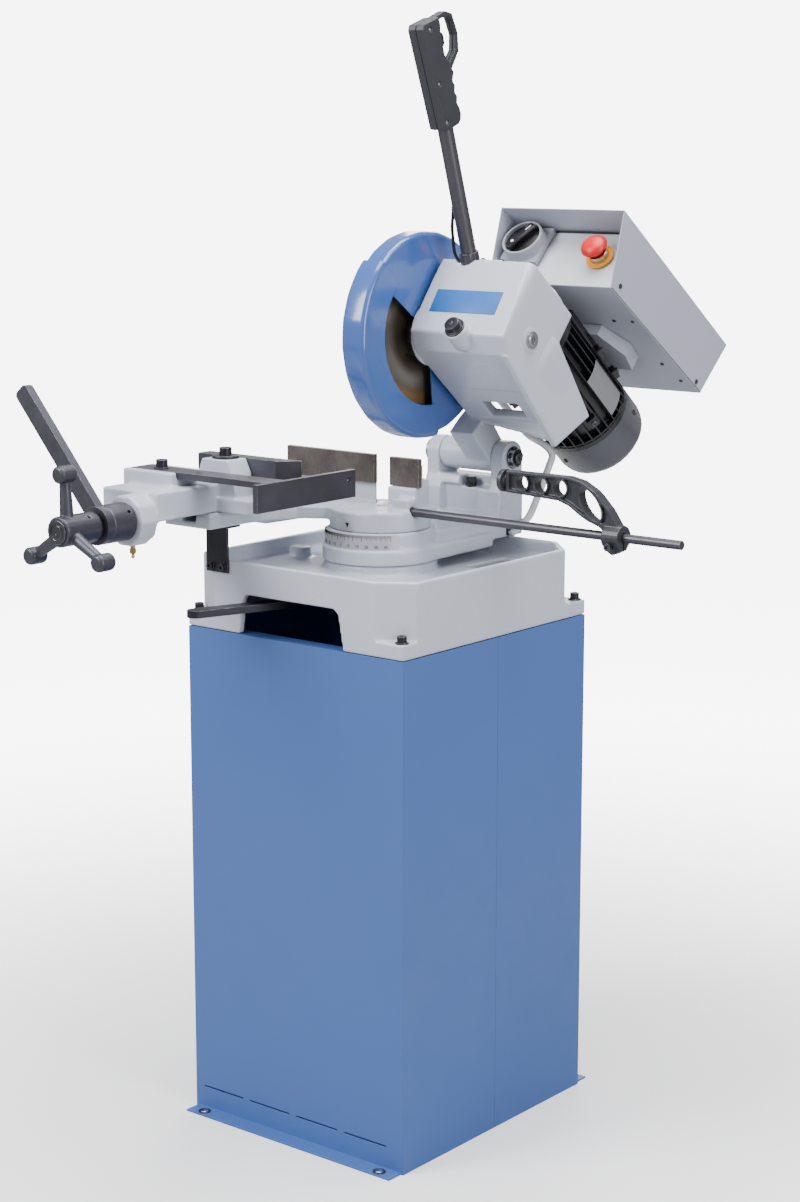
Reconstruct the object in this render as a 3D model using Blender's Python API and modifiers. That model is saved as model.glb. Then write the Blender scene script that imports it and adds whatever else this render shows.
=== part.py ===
"""Manual cold circular saw for metal, on a sheet-steel stand.

Units: metres, +Z up. Origin: centre of the stand's footprint on the floor.
The operator stands at -Y; +X is to the operator's right; the saw head is
hinged at the back (+Y) and swivels on the base about a vertical axis.
Lengths below are written in millimetres and scaled by MM.
The saw head is modelled in its own frame, whose origin is the tilt hinge
axis: there +Y runs back along the motor axis and +Z is up when the head is
level. At rest the frame is turned HEAD_TILT about X, head raised.
"""

import math

import bmesh
import bpy
from mathutils import Matrix, Vector

MM = 0.001

# ---- driving dimensions (millimetres, degrees) -------------------------
STAND_W, STAND_D, STAND_H = 390.0, 418.0, 720.0
HALF_W, HALF_D = STAND_W / 2, STAND_D / 2
BOLT_X, BOLT_Y = 184.0, HALF_D - 11.0    # bolts between stand and base
BASE_TOP = 822.0
TRAY_FLOOR = 800.0
SWIVEL_Y = -19.0
HINGE_Y, HINGE_Z = 199.4, 939.1
HEAD_TILT = -40.0
SCREW_X, SCREW_Z = -150.0, 894.0         # vise screw axis
LEDGE_Z = 917.0                          # top of the right-hand jaw post
ROD_Y, ROD_Z, ROD_R = -28.0, 885.5, 6.25
GAP = 0.3                                # clearance between neighbours

# head frame
BLADE_R, BLADE_T = 125.0, 2.0
BLADE_TEETH = 84
SPINDLE_Y, SPINDLE_Z = -220.5, 57.0
MOTOR_X, MOTOR_Z = 107.0, 124.0
GUARD_R, GUARD_HALF = 144.0, 18.5
SHIELD_R, SHIELD_HALF = 148.7, 20.8
WHEEL_TEETH, WHEEL_R = 36, 37.0
HANDLE_X, HANDLE_Y, HANDLE_Z = 68.0, -258.0, 152.0
HANDLE_RISE = 32.35                      # above the head frame's -Y
BOX_X0, BOX_X1 = 3.0, 220.0

for old in list(bpy.data.objects):
    bpy.data.objects.remove(old, do_unlink=True)

saw = bpy.data.collections.new("cold_circular_saw")
helpers = bpy.data.collections.new("cutters")
bpy.context.scene.collection.children.link(saw)
bpy.context.scene.collection.children.link(helpers)


# ---- materials ---------------------------------------------------------
DISPLAY_GAMMA = 2.2

# name: (display colour 0-255, roughness, metallic)
PAINT = {
    "blue": ((108, 137, 183), 0.45, 0.0),
    "guard": ((88, 122, 180), 0.3, 0.0),
    "cast": ((190, 194, 202), 0.5, 0.0),
    "box": ((190, 192, 196), 0.5, 0.0),
    "gunmetal": ((72, 72, 78), 0.4, 0.6),
    "jaw": ((125, 118, 115), 0.45, 0.8),
    "steel": ((170, 172, 176), 0.3, 1.0),
    "blade": ((70, 62, 52), 0.3, 0.9),
    "bronze": ((176, 130, 70), 0.4, 0.9),
    "black": ((28, 28, 33), 0.5, 0.0),
    "cowl": ((120, 122, 130), 0.45, 0.2),
    "plastic": ((72, 72, 78), 0.6, 0.0),
    "red": ((215, 50, 50), 0.4, 0.0),
    "yellow": ((240, 175, 60), 0.5, 0.0),
    "hose": ((225, 228, 230), 0.3, 0.0),
    "scale": ((205, 206, 208), 0.35, 0.6),
    "tank": ((150, 155, 160), 0.5, 0.3),
}


def material(name):
    """A new material from the PAINT table; every piece gets its own."""
    colour, roughness, metallic = PAINT[name]
    linear = [(channel / 255.0) ** DISPLAY_GAMMA for channel in colour]
    mat = bpy.data.materials.new(name)
    mat.use_nodes = True
    shader = mat.node_tree.nodes["Principled BSDF"]
    shader.inputs["Base Color"].default_value = (*linear, 1.0)
    shader.inputs["Roughness"].default_value = roughness
    shader.inputs["Metallic"].default_value = metallic
    mat.diffuse_color = (*linear, 1.0)
    return mat


# ---- places on the main axes -------------------------------------------
def on_swivel(z):
    return (0, SWIVEL_Y, z)


def on_hinge(x):
    return (x, HINGE_Y, HINGE_Z)


def on_screw(y):
    return (SCREW_X, y, SCREW_Z)


def on_rod(x):
    return (x, ROD_Y, ROD_Z)


def on_spindle(x):
    """Head frame."""
    return (x, SPINDLE_Y, SPINDLE_Z)


def on_motor(y):
    """Head frame."""
    return (MOTOR_X, y, MOTOR_Z)


# ---- frames: empties on the joint axes ---------------------------------
SWIVEL, HEAD, SPINDLE, MOTOR = "swivel_axis", "tilt_axis", "spindle_axis", "motor_axis"
SLIDE, HANDWHEEL, CLAMP = "slide_axis", "handwheel_axis", "clamp_axis"
LOCK, ROD, STOP, KNOB = "lock_lever_axis", "rod_axis", "stop_axis", "knob_axis"

frames = {}  # name: (empty, parent inverse for what hangs on it)


def hang(obj, frame_name):
    obj.parent, obj.matrix_parent_inverse = frames[frame_name]


def frame(name, location, parent=None, tilt=0.0):
    empty = bpy.data.objects.new(name, None)
    empty.empty_display_size = 0.05
    saw.objects.link(empty)
    empty.location = Vector(location) * MM
    empty.rotation_euler = (math.radians(tilt), 0.0, 0.0)
    if parent:
        hang(empty, parent)
    # Pieces of a tilted frame are written in that frame; the others are
    # written in the space their frame stands in.
    here = Matrix.Translation(Vector(location) * MM)
    frames[name] = (empty, Matrix.Identity(4) if tilt else here.inverted())


frame(SWIVEL, on_swivel(814))
frame(HEAD, on_hinge(0), SWIVEL, HEAD_TILT)
frame(SPINDLE, on_spindle(0), HEAD)
frame(MOTOR, on_motor(0), HEAD)
frame(SLIDE, on_screw(-250))
frame(HANDWHEEL, on_screw(-440), SLIDE)
frame(CLAMP, on_screw(-400), SLIDE)
frame(LOCK, on_swivel(745))
frame(ROD, on_rod(60))
frame(STOP, on_rod(412), ROD)


# ---- shape helpers -----------------------------------------------------
# Each builder takes `at`, the frame its piece hangs on, and `paint`.
X, Y, Z = (1, 0, 0), (0, 1, 0), (0, 0, 1)
MINUS_X, MINUS_Y = (-1, 0, 0), (0, -1, 0)


def put(mesh, name, turn, at, paint):
    """Link a mesh as a piece (paint given) or as a helper (no paint)."""
    obj = bpy.data.objects.new(name, mesh)
    if paint:
        saw.objects.link(obj)
        mesh.materials.clear()
        mesh.materials.append(material(paint))
    else:
        helpers.objects.link(obj)
        obj.hide_render = True
        obj.display_type = "WIRE"
    obj.matrix_basis = turn
    if at:
        hang(obj, at)
    return obj


def smooth(mesh, angle):
    mesh.shade_smooth()
    mesh.set_sharp_from_angle(angle=math.radians(angle))


def mesh_of(shape, name):
    bmesh.ops.recalc_face_normals(shape, faces=shape.faces)
    mesh = bpy.data.meshes.new(name)
    shape.to_mesh(mesh)
    shape.free()
    return mesh


def spin_about_z(shape, degrees):
    bmesh.ops.rotate(shape, cent=(0, 0, 0), verts=shape.verts,
                     matrix=Matrix.Rotation(math.radians(degrees), 3, "Z"))


def block(size):
    """Cube scaled to size, centred on its own origin."""
    shape = bmesh.new()
    bmesh.ops.create_cube(shape, size=1.0)
    bmesh.ops.scale(shape, vec=size, verts=shape.verts)
    return shape


def box(name, x, y, z, at=None, paint=None):
    """Box from its (low, high) span on each axis."""
    size = Vector((x[1] - x[0], y[1] - y[0], z[1] - z[0])) * MM
    middle = Vector((x[0] + x[1], y[0] + y[1], z[0] + z[1])) * MM / 2
    return put(mesh_of(block(size), name), name, Matrix.Translation(middle), at, paint)


def axis_turn(base, axis):
    """Matrix that stands local +Z along axis, from base."""
    quat = Vector((0, 0, 1)).rotation_difference(Vector(axis).normalized())
    return Matrix.Translation(Vector(base) * MM) @ quat.to_matrix().to_4x4()


def cyl(name, base, axis, radius, height, at=None, paint=None, sides=22,
        end_radius=None, spin=0.0):
    """Cylinder, cone or regular prism standing on base along axis."""
    shape = bmesh.new()
    bmesh.ops.create_cone(shape, cap_ends=True, segments=sides, radius1=radius * MM,
                          radius2=(radius if end_radius is None else end_radius) * MM,
                          depth=height * MM)
    bmesh.ops.translate(shape, vec=(0, 0, height * MM / 2), verts=shape.verts)
    if spin:
        spin_about_z(shape, spin)
    mesh = mesh_of(shape, name)
    if sides > 8:
        smooth(mesh, 35)
    return put(mesh, name, axis_turn(base, axis), at, paint)


def lathe(name, profile, base, axis, at, paint=None, steps=28, ring=False):
    """Turned shape. profile: (radius, height) pairs; ring closes it."""
    mesh = bpy.data.meshes.new(name)
    points = [(radius * MM, 0.0, height * MM) for radius, height in profile]
    edges = [(i, i + 1) for i in range(len(points) - 1)]
    if ring:
        edges.append((len(points) - 1, 0))
    mesh.from_pydata(points, edges, [])
    obj = put(mesh, name, axis_turn(base, axis), at, paint)
    screw = obj.modifiers.new("turned", "SCREW")
    screw.axis = "Z"
    screw.angle = 2 * math.pi
    screw.steps = screw.render_steps = steps
    screw.use_merge_vertices = True
    screw.merge_threshold = 0.000005
    screw.use_smooth_shade = True
    return obj


def add_path(curve, points, closed):
    spline = curve.splines.new("POLY")
    spline.points.add(len(points) - 1)
    for point, place in zip(spline.points, points):
        point.co = (*(Vector(place).to_3d() * MM), 1.0)
    spline.use_cyclic_u = closed


def from_curve(curve, name):
    holder = bpy.data.objects.new(name + "_outline", curve)
    mesh = bpy.data.meshes.new_from_object(holder)
    bpy.data.objects.remove(holder)
    mesh.name = name
    shape = bmesh.new()
    shape.from_mesh(mesh)
    bmesh.ops.remove_doubles(shape, verts=shape.verts, dist=0.000002)
    bmesh.ops.recalc_face_normals(shape, faces=shape.faces)
    shape.to_mesh(mesh)
    shape.free()
    return mesh


# plane: (turn of the outline into place, direction of its thickness)
PLANES = {
    "X": (Matrix(((0, 0, 1, 0), (1, 0, 0, 0), (0, 1, 0, 0), (0, 0, 0, 1))), X),
    "Y": (Matrix(((1, 0, 0, 0), (0, 0, -1, 0), (0, 1, 0, 0), (0, 0, 0, 1))), Y),
    "Z": (Matrix.Identity(4), Z),
}


def prism(name, plane, outline, low, high, at=None, paint=None, holes=()):
    """Flat outline (a curve filled on both sides) given a thickness.

    plane "X" reads the outline as (y, z), "Y" as (x, z) and "Z" as (x, y).
    """
    curve = bpy.data.curves.new(name, "CURVE")
    curve.dimensions = "2D"
    curve.fill_mode = "BOTH"
    curve.extrude = (high - low) * MM / 2
    for loop in (outline, *holes):
        add_path(curve, loop, closed=True)
    mesh = from_curve(curve, name)
    smooth(mesh, 25)
    turn, normal = PLANES[plane]
    turn = turn.copy()
    turn.translation = Vector(normal) * ((low + high) * MM / 2)
    return put(mesh, name, turn, at, paint)


def tube(name, points, radius, at, paint):
    curve = bpy.data.curves.new(name, "CURVE")
    curve.dimensions = "3D"
    curve.bevel_depth = radius * MM
    curve.bevel_resolution = 2
    curve.use_fill_caps = True
    add_path(curve, points, closed=False)
    mesh = from_curve(curve, name)
    smooth(mesh, 60)
    return put(mesh, name, Matrix.Identity(4), at, paint)


def combine(obj, others, operation):
    for other in others:
        mod = obj.modifiers.new(operation.lower() + "_" + other.name, "BOOLEAN")
        mod.operation = operation
        mod.solver = "EXACT"
        mod.object = other


def join(obj, *others):
    combine(obj, others, "UNION")


def cut(obj, *others):
    combine(obj, others, "DIFFERENCE")


# ---- outline helpers: lists of 2D points -------------------------------
def around(centre, half):
    return (centre - half, centre + half)


def widen(span, margin):
    return (span[0] - margin, span[1] + margin)


def rect(first, second):
    """Rectangle from its (low, high) spans along both coordinates."""
    return [(first[0], second[0]), (first[1], second[0]),
            (first[1], second[1]), (first[0], second[1])]


def polar(first, second, radius, degrees):
    """Point at a radius and angle from the centre (first, second)."""
    angle = math.radians(degrees)
    return (first + radius * math.cos(angle), second + radius * math.sin(angle))


def arc(first, second, radius, start, end, steps):
    return [polar(first, second, radius, start + (end - start) * i / steps)
            for i in range(steps + 1)]


def round_hole(first, second, radius, steps):
    """Clockwise loop; its closing edge spans the last 15 degrees."""
    return arc(first, second, radius, 0, 345, steps)[::-1]


def slot(first, second, half, radius):
    """Round-ended slot along the first coordinate."""
    return (arc(first + half, second, radius, -90, 90, 6)
            + arc(first - half, second, radius, 90, 270, 6))


def inset(loop, depth):
    """Offset a convex anticlockwise outline inwards by depth."""
    out = []
    for i, corner in enumerate(loop):
        before, here = Vector(loop[i - 1]), Vector(corner)
        after = Vector(loop[(i + 1) % len(loop)])
        edge_in, edge_out = (here - before).normalized(), (after - here).normalized()
        normal_in = Vector((-edge_in.y, edge_in.x))
        normal_out = Vector((-edge_out.y, edge_out.x))
        bisector = (normal_in + normal_out).normalized()
        out.append(tuple(here + bisector * (depth / bisector.dot(normal_in))))
    return out


# =========================================================================
# Stand: two bent sheet panels, with the coolant tank and pump inside
# =========================================================================
SHEET = 2.0
FLANGE_OUT = 26.0
FOOT_T = 2.5             # bottom flange and tie strap
SHELF_TOP = 6.0
OVERLAP = 1.0            # joined parts run this far into the sheet
SLIT_W, SLIT_PITCH = 76, 89


def panel(name, side):
    """U of sheet, open to the middle; side is -1 in front, 1 at the rear."""
    wall = side * HALF_D
    inner = side * GAP / 2
    plan = [(-HALF_W, inner), (-HALF_W, wall), (HALF_W, wall), (HALF_W, inner),
            (HALF_W - SHEET, inner), (HALF_W - SHEET, wall - side * SHEET),
            (-HALF_W + SHEET, wall - side * SHEET), (-HALF_W + SHEET, inner)]
    body = prism(name, "Z", plan, 0.0, STAND_H, None, "blue")
    width = around(0, HALF_W - OVERLAP)

    def from_wall(depth):
        """Span along y from just inside the wall to a depth behind it."""
        return sorted((wall - side * OVERLAP, wall - side * depth))

    join(body,
         prism(name + "_foot", "Z", rect(around(0, HALF_W - 4), from_wall(-FLANGE_OUT)),
               0.0, FOOT_T,
               holes=[slot(x, wall + side * 15, 3, 4.5) for x in (-165, 165)]),
         box(name + "_shelf", width, from_wall(30.0), (SHELF_TOP - SHEET, SHELF_TOP)),
         box(name + "_lip", width, from_wall(26.0), (STAND_H - SHEET, STAND_H)))
    cut(body, *[cyl(f"{name}_bolt_hole_{i}", (x, side * BOLT_Y, STAND_H - 10), Z,
                    4.6, 20, sides=10) for i, x in enumerate((-BOLT_X, BOLT_X))])
    return body


front_panel = panel("stand_front_panel", -1)
# a tie strap along the floor holds the two halves at their distance
join(front_panel,
     box("tie_strap", (-45, 45), (-HALF_D + OVERLAP, HALF_D - 6), (0.0, FOOT_T)))
for i in range(4):
    slit_x = -178 + i * SLIT_PITCH
    cut(front_panel, box(f"kick_slit_{i}", (slit_x, slit_x + SLIT_W),
                         around(-HALF_D, 5), (33, 35.2)))
panel("stand_rear_panel", 1)

TANK_X, TANK_Y, TANK_WALL = 176, 170, 3
TANK_BOTTOM, TANK_TOP = SHELF_TOP + GAP, 126

tank = box("coolant_tank", around(0, TANK_X), around(0, TANK_Y),
           (TANK_BOTTOM, TANK_TOP), None, "tank")
cut(tank, box("tank_room", around(0, TANK_X - TANK_WALL), around(0, TANK_Y - TANK_WALL),
              (TANK_BOTTOM + TANK_WALL, TANK_TOP + 14)))

PUMP = (115, 95)         # x, y

pump = cyl("coolant_pump", (*PUMP, 132.4), Z, 44, 86, None, "black", 20)
join(pump,
     box("pump_plate", (52, 175), (30, 169.5), (TANK_TOP + GAP, 133)),
     cyl("pump_stem", (*PUMP, 24), Z, 20, 104, sides=16),
     cyl("pump_cap", (*PUMP, 216), Z, 40, 10, sides=20, end_radius=34))

# =========================================================================
# Base casting: tray with an octagonal wall on rectangular feet
# =========================================================================
CORNER_X, CORNER_FRONT, CORNER_BACK = 50.0, 32.0, 51.0   # corner cut-offs
BASE_BOTTOM = STAND_H + GAP
POST_R = 19.8
POST_BORE_R = 20.2
LUG_HOLE_R = 4.6

octagon = [(-HALF_W + CORNER_X, -HALF_D), (HALF_W - CORNER_X, -HALF_D),
           (HALF_W, -HALF_D + CORNER_FRONT), (HALF_W, HALF_D - CORNER_BACK),
           (HALF_W - CORNER_X, HALF_D), (-HALF_W + CORNER_X, HALF_D),
           (-HALF_W, HALF_D - CORNER_BACK), (-HALF_W, -HALF_D + CORNER_FRONT)]
bolt_spots = rect(around(0, BOLT_X), around(0, BOLT_Y))

base = prism("base_casting", "Z", octagon, BASE_BOTTOM, BASE_TOP, None, "cast")
join(base, prism("base_lugs", "Z", rect(around(0, HALF_W), around(0, HALF_D)),
                 BASE_BOTTOM, 742.0))
cut(base,
    prism("tray_room", "Z", inset(octagon, 9.0), TRAY_FLOOR, BASE_TOP + 20),
    prism("under_room", "Z", inset(octagon, 12.0), STAND_H - 20, 791.0),
    prism("lever_mouth", "Y",
          [(-99, STAND_H - 5), (-91, 770), (-85, 776), (74, 776),
           (82, 770), (92, STAND_H - 5)], -HALF_D - 10, -HALF_D + 30))
join(base,
     cyl("pivot_boss", on_swivel(771), Z, 81, 42.4, sides=38),
     cyl("tray_boss", (-146, -25, 796), Z, 16, 19, sides=20))
cut(base,
    cyl("boss_room", on_swivel(700), Z, 60, 100, sides=28),
    cyl("pivot_bore", on_swivel(700), Z, POST_BORE_R, 140, sides=20),
    box("drain_window", (92, 152), (60, 150), (780, 812)),
    *[cyl(f"lug_hole_{i}", (*spot, 700), Z, LUG_HOLE_R, 60, sides=10)
      for i, spot in enumerate(bolt_spots)])
# stands in the helper collection only; the base is not cut with it
cyl("hose_hole", (30, 130, 765), Z, 7.5, 30, sides=10)

for i, spot in enumerate(bolt_spots):
    bolt = cyl(f"base_bolt_{i + 1}", (*spot, 743.9), Z, 6.5, 8.0, None, "gunmetal", 14)
    join(bolt,
         cyl(f"base_washer_{i}", (*spot, 742.3), Z, 9.0, 1.8, sides=16),
         cyl(f"base_shank_{i}", (*spot, 705), Z, 4.2, 40, sides=10))
    cut(bolt, cyl(f"base_socket_{i}", (*spot, 747), Z, 3.6, 8, sides=6))

# swivel post, fixed in the base, carries the vise table on top
post = cyl("pivot_post", on_swivel(770), Z, POST_R, 88.3, None, "steel", 20)
join(post,
     cyl("pivot_flange", on_swivel(767.8), Z, 34, 31.9, sides=24),
     cyl("pivot_thread", on_swivel(728), Z, 10.6, 44, sides=14),
     cyl("lock_screw_head", on_swivel(722), Z, 17, 12.8, sides=6))

# lock lever of the swivel: hub under the base boss, bar out of the mouth
LOCK_DIR = Vector((-104.0, -281.0, 0)).normalized()
LOCK_REACH = 291
LOCK_NOSE_R, LOCK_ROOT_HALF = 12, 10.5


def lock_bar_outline():
    """Slightly flared bar with a round nose, seen from above."""
    across = Vector((-LOCK_DIR.y, LOCK_DIR.x, 0))
    centre = Vector((0, SWIVEL_Y, 0))
    root = centre + LOCK_DIR * 12
    tip = centre + LOCK_DIR * LOCK_REACH
    heading = math.degrees(math.atan2(LOCK_DIR.y, LOCK_DIR.x))
    first = [root + across * -LOCK_ROOT_HALF, tip + across * -LOCK_NOSE_R]
    last = [tip + across * LOCK_NOSE_R, root + across * LOCK_ROOT_HALF]
    nose = arc(tip.x, tip.y, LOCK_NOSE_R, heading - 90, heading + 90, 8)
    return ([(p.x, p.y) for p in first] + nose[1:-1] + [(p.x, p.y) for p in last])


lock_lever = cyl("swivel_lock_lever", on_swivel(735.2), Z, 26, 32.2, LOCK, "gunmetal", 20)
join(lock_lever, prism("lock_bar", "Z", lock_bar_outline(), 756.6, 766.6))
cut(lock_lever, cyl("lock_bore", on_swivel(730), Z, 11, 50, sides=14))

# =========================================================================
# Vise table: fixed on the post, reaches to the front left
# =========================================================================
JAW_WALL_Y = (-7.7, 12)
FIXED_JAW_Y = (-16.0, -8.0)
NUT_X, NUT_Y, NUT_BOTTOM = around(SCREW_X, 20), (-196, -172), 876.3
SWEEP_ANGLE, SWEEP_REACH = 46.0, 150.0   # blade clearance behind the pivot
SWEEP_HALF = 3.5                         # its half width at the pivot
CUT_TOP = 990.0                          # above everything on the table

# (x, y), seen from above
TABLE_PLAN = [(-196, -252), (-110, -252), (-108, -150), (-84, -100), (-52, -78),
              (0, -85), (38, -77), (62, -52), (69, -26), (69, 24), (-186, 24),
              (-200, 0)]
sweep_far_x = SWEEP_HALF + SWEEP_REACH * math.tan(math.radians(SWEEP_ANGLE))

table = prism("vise_table", "Z", TABLE_PLAN, 870.0, 888.0, None, "cast")
join(table,
     cyl("table_disc", on_swivel(858.6), Z, 72.0, 27.9, sides=38),
     prism("table_rib", "X", [(-180, 876), (-40, 876), (-40, 860), (-120, 861)],
           -170, -122),
     prism("jaw_wall_left", "Y", rect((-176, -17), (879, 955)), *JAW_WALL_Y),
     prism("jaw_wall_right", "Y", rect((16.5, 63), (880, 955)), *JAW_WALL_Y),
     box("jaw_post", (15, 64), (-22, 13), (881, LEDGE_Z)),
     box("rod_lug", (38, 66), (-40, -18), (880.5, 903)),
     box("slide_rail", (-194, -112), (-249, -60), (881.5, 892)))
cut(table,
    prism("sweep_back", "Z",
          [(-SWEEP_HALF, SWIVEL_Y), (-sweep_far_x, SWIVEL_Y + SWEEP_REACH),
           (sweep_far_x, SWIVEL_Y + SWEEP_REACH), (SWEEP_HALF, SWIVEL_Y)],
          889.0, CUT_TOP),
    box("guard_relief", (-70, 70), (-1.5, 30), (928, CUT_TOP)),
    box("guard_relief_top", (-72, 72), (-20, 30), (949, CUT_TOP)),
    prism("sweep_front", "Z",
          [(-SWEEP_HALF, SWIVEL_Y), (SWEEP_HALF, SWIVEL_Y), (28, -60), (-28, -60)],
          889.0, CUT_TOP),
    cyl("table_bore", on_swivel(850), Z, 6, 60, sides=14),
    box("screw_channel", around(SCREW_X, 13), (-260, -58), (879, 900)),
    box("nut_pocket", widen(NUT_X, GAP), widen(NUT_Y, GAP), (NUT_BOTTOM - GAP, 900)),
    cyl("rod_seat", on_rod(40), X, ROD_R + 0.3, 40, sides=16))

prism("fixed_jaw_left", "Y", rect((-178, -14.5), (917.2, 958.6)),
      *FIXED_JAW_Y, None, "jaw")
prism("fixed_jaw_right", "Y", rect((14.0, 66), (917.3, 957.8)),
      *FIXED_JAW_Y, None, "jaw")

nut = box("vise_nut", NUT_X, NUT_Y, (NUT_BOTTOM, 906), None, "bronze")
cut(nut, cyl("nut_thread", on_screw(-200), Y, 9.3, 40, sides=16))

# support strap: upright plate on the base front, tab bent back at the top
STRAP_X, STRAP_TOP = (-155, -115), 869.6
STRAP_SCREWS_X, STRAP_SCREW_Z = (-146, -124), 812

strap = box("support_strap", STRAP_X, (-212.5, -209.4), (804, STRAP_TOP),
            None, "gunmetal")
join(strap, box("strap_tab", STRAP_X, (-212.4, -186), (866.4, STRAP_TOP)))
for i, x in enumerate(STRAP_SCREWS_X):
    cut(base, cyl(f"strap_tap_{i}", (x, -215, STRAP_SCREW_Z), Y, 3.2, 12, sides=10))
    join(strap,
         cyl(f"strap_screw_{i}", (x, -217.5, STRAP_SCREW_Z), Y, 5.2, 6, sides=12),
         cyl(f"strap_shank_{i}", (x, -213, STRAP_SCREW_Z), Y, 2.9, 9, sides=10))
    cut(strap, cyl(f"strap_socket_{i}", (x, -214.8, STRAP_SCREW_Z), MINUS_Y, 2.7, 6,
                   sides=6))

# =========================================================================
# Vise slide and what rides on it
# =========================================================================
SLIDE_BOTTOM = 892.3
STEP_Y, STEP_Z = -190.3, 912.7           # step the moving jaw sits in
BAR_Y, BAR_Z = (-280, -243), (941.3, 950)
BAR_SCREW = (-190, -261.5)               # x, y
JAW_BOLT = (-121, -207)                  # x, y

slide = box("vise_slide", (-222, -116), (-345, -150), (SLIDE_BOTTOM, 931), SLIDE, "cast")
join(slide,
     box("slide_pad", (-236, -143), (-292, -232), (893, 950), SLIDE),
     box("slide_shelf", (-150, -58), (-232, -165), (893, STEP_Z), SLIDE),
     prism("jaw_boss", "Y",
           [(-160, 905), (-82, 905), (-88, 945), (-98, 964.4),
            (-146, 964.4), (-154, 945)], -228, STEP_Y, SLIDE),
     cyl("screw_boss", on_screw(-375), Y, 35.5, 60, SLIDE, sides=10, spin=18),
     prism("boss_neck", "Y",
           [(-184, 893), (-116, 893), (-122, 924), (-138, 932),
            (-164, 932), (-178, 924)], -340, -280, SLIDE))
cut(slide,
    box("jaw_step", (-240, -50), (STEP_Y, -140), (STEP_Z, 1000), SLIDE),
    box("boss_under", (-240, -60), (-345.2, -200), (840, SLIDE_BOTTOM), SLIDE),
    box("bar_groove", (-240, -100), widen(BAR_Y, GAP), (BAR_Z[0] - GAP, 960), SLIDE),
    box("nut_groove", around(SCREW_X, 22), (-290, -140), (885, 908.5), SLIDE),
    cyl("slide_bore", on_screw(-390), Y, 10.4, 260, SLIDE, sides=16),
    cyl("bar_tap", (*BAR_SCREW, 915), Z, 5.3, 60, SLIDE, sides=10),
    cyl("jaw_tap", (*JAW_BOLT, 925), Z, 6.3, 60, SLIDE, sides=10))

prism("moving_jaw", "Z", [(-190, -190), (-44, -190), (-18, -165), (-190, -165)],
      913.0, 964.5, SLIDE, "gunmetal")
jaw_bolt = cyl("jaw_bolt", (*JAW_BOLT, 968), Z, 8.5, 11, SLIDE, "gunmetal", 14)
join(jaw_bolt,
     cyl("jaw_washer", (*JAW_BOLT, 964.8), Z, 19, 3.5, SLIDE, sides=20),
     cyl("jaw_shank", (*JAW_BOLT, 932), Z, 5.9, 36, SLIDE, sides=10))
cut(jaw_bolt, cyl("jaw_socket", (*JAW_BOLT, 972), Z, 4.9, 12, SLIDE, sides=6))

# anti-burr stop: bar across the slide with an upright plate at its right end
bar = box("anti_burr_stop", (-232, 20), BAR_Y, BAR_Z, SLIDE, "gunmetal")
join(bar, box("anti_burr_plate", (18.0, 26.0), (-304, -104), (912, 950), SLIDE))
cut(bar,
    cyl("bar_hole", (*BAR_SCREW, 930), Z, 5.5, 40, SLIDE, sides=10),
    cyl("bar_hole_b", (-118, BAR_SCREW[1], 930), Z, 5.5, 40, SLIDE, sides=10),
    cyl("plate_hole", (10, -118, 937), X, 4.0, 30, SLIDE, sides=10))
bar_screw = cyl("anti_burr_screw", (*BAR_SCREW, BAR_Z[1] + GAP), Z, 8.2, 12,
                SLIDE, "gunmetal", 14)
join(bar_screw, cyl("bar_screw_shank", (*BAR_SCREW, 920), Z, 4.9, 35, SLIDE, sides=10))
cut(bar_screw, cyl("bar_screw_socket", (*BAR_SCREW, 956), Z, 4.6, 12, SLIDE, sides=6))

# screw with its handwheel
cyl("vise_screw", on_screw(-497), Y, 9.0, 342, HANDWHEEL, "steel", 16)

WHEEL_KNOB = [(0, 26), (8.5, 26), (11, 23.5), (11, 2.5), (8.5, 0), (0, 0)]  # radius, height

handwheel = cyl("handwheel", on_screw(-494), Y, 19.5, 60, HANDWHEEL, "gunmetal")
for i, degrees in enumerate((92.0, 212.0, 332.0)):
    outward_x, outward_z = polar(0, 0, 1, degrees)
    outward = Vector((outward_x, 0, outward_z))
    join(handwheel,
         cyl(f"wheel_arm_{i}", Vector(on_screw(-478)) + outward * 14, outward, 8.5, 58,
             HANDWHEEL, sides=10, end_radius=6.2),
         lathe(f"wheel_knob_{i}", WHEEL_KNOB, Vector(on_screw(-491)) + outward * 74, Y,
               HANDWHEEL, steps=14))
cut(handwheel,
    cyl("hub_bore", on_screw(-500), Y, 9.3, 80, HANDWHEEL, sides=16),
    cyl("hub_set_screw", on_screw(-450), (0.6, 0, 0.8), 2.8, 30, HANDWHEEL, sides=10))

# quick-clamp lever on its sleeve
CLAMP_ANGLE = 131.0                      # above +X

SLEEVE_PROFILE = [(26, 52), (26, 16), (25, 14), (26, 12), (26, 0),
                  (9.6, 0), (9.6, 52)]   # radius, height
CLAMP_BAR = [(14, -12.5), (222, -12.5), (226, -8.5), (226, 8.5),
             (222, 12.5), (14, 12.5)]    # along the bar, across it


def clamp_bar_outline():
    cos, sin = polar(0, 0, 1, CLAMP_ANGLE)
    return [(SCREW_X + cos * along - sin * across,
             SCREW_Z + sin * along + cos * across) for along, across in CLAMP_BAR]


clamp_lever = lathe("clamp_lever", SLEEVE_PROFILE, on_screw(-429), Y, CLAMP,
                    "gunmetal", ring=True)
join(clamp_lever, prism("clamp_bar", "Y", clamp_bar_outline(), -421, -408, CLAMP))
cut(clamp_lever, cyl("sleeve_set_screw", on_screw(-385), (0.78, 0, 0.62), 3.0, 40,
                     CLAMP, sides=10))

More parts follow.
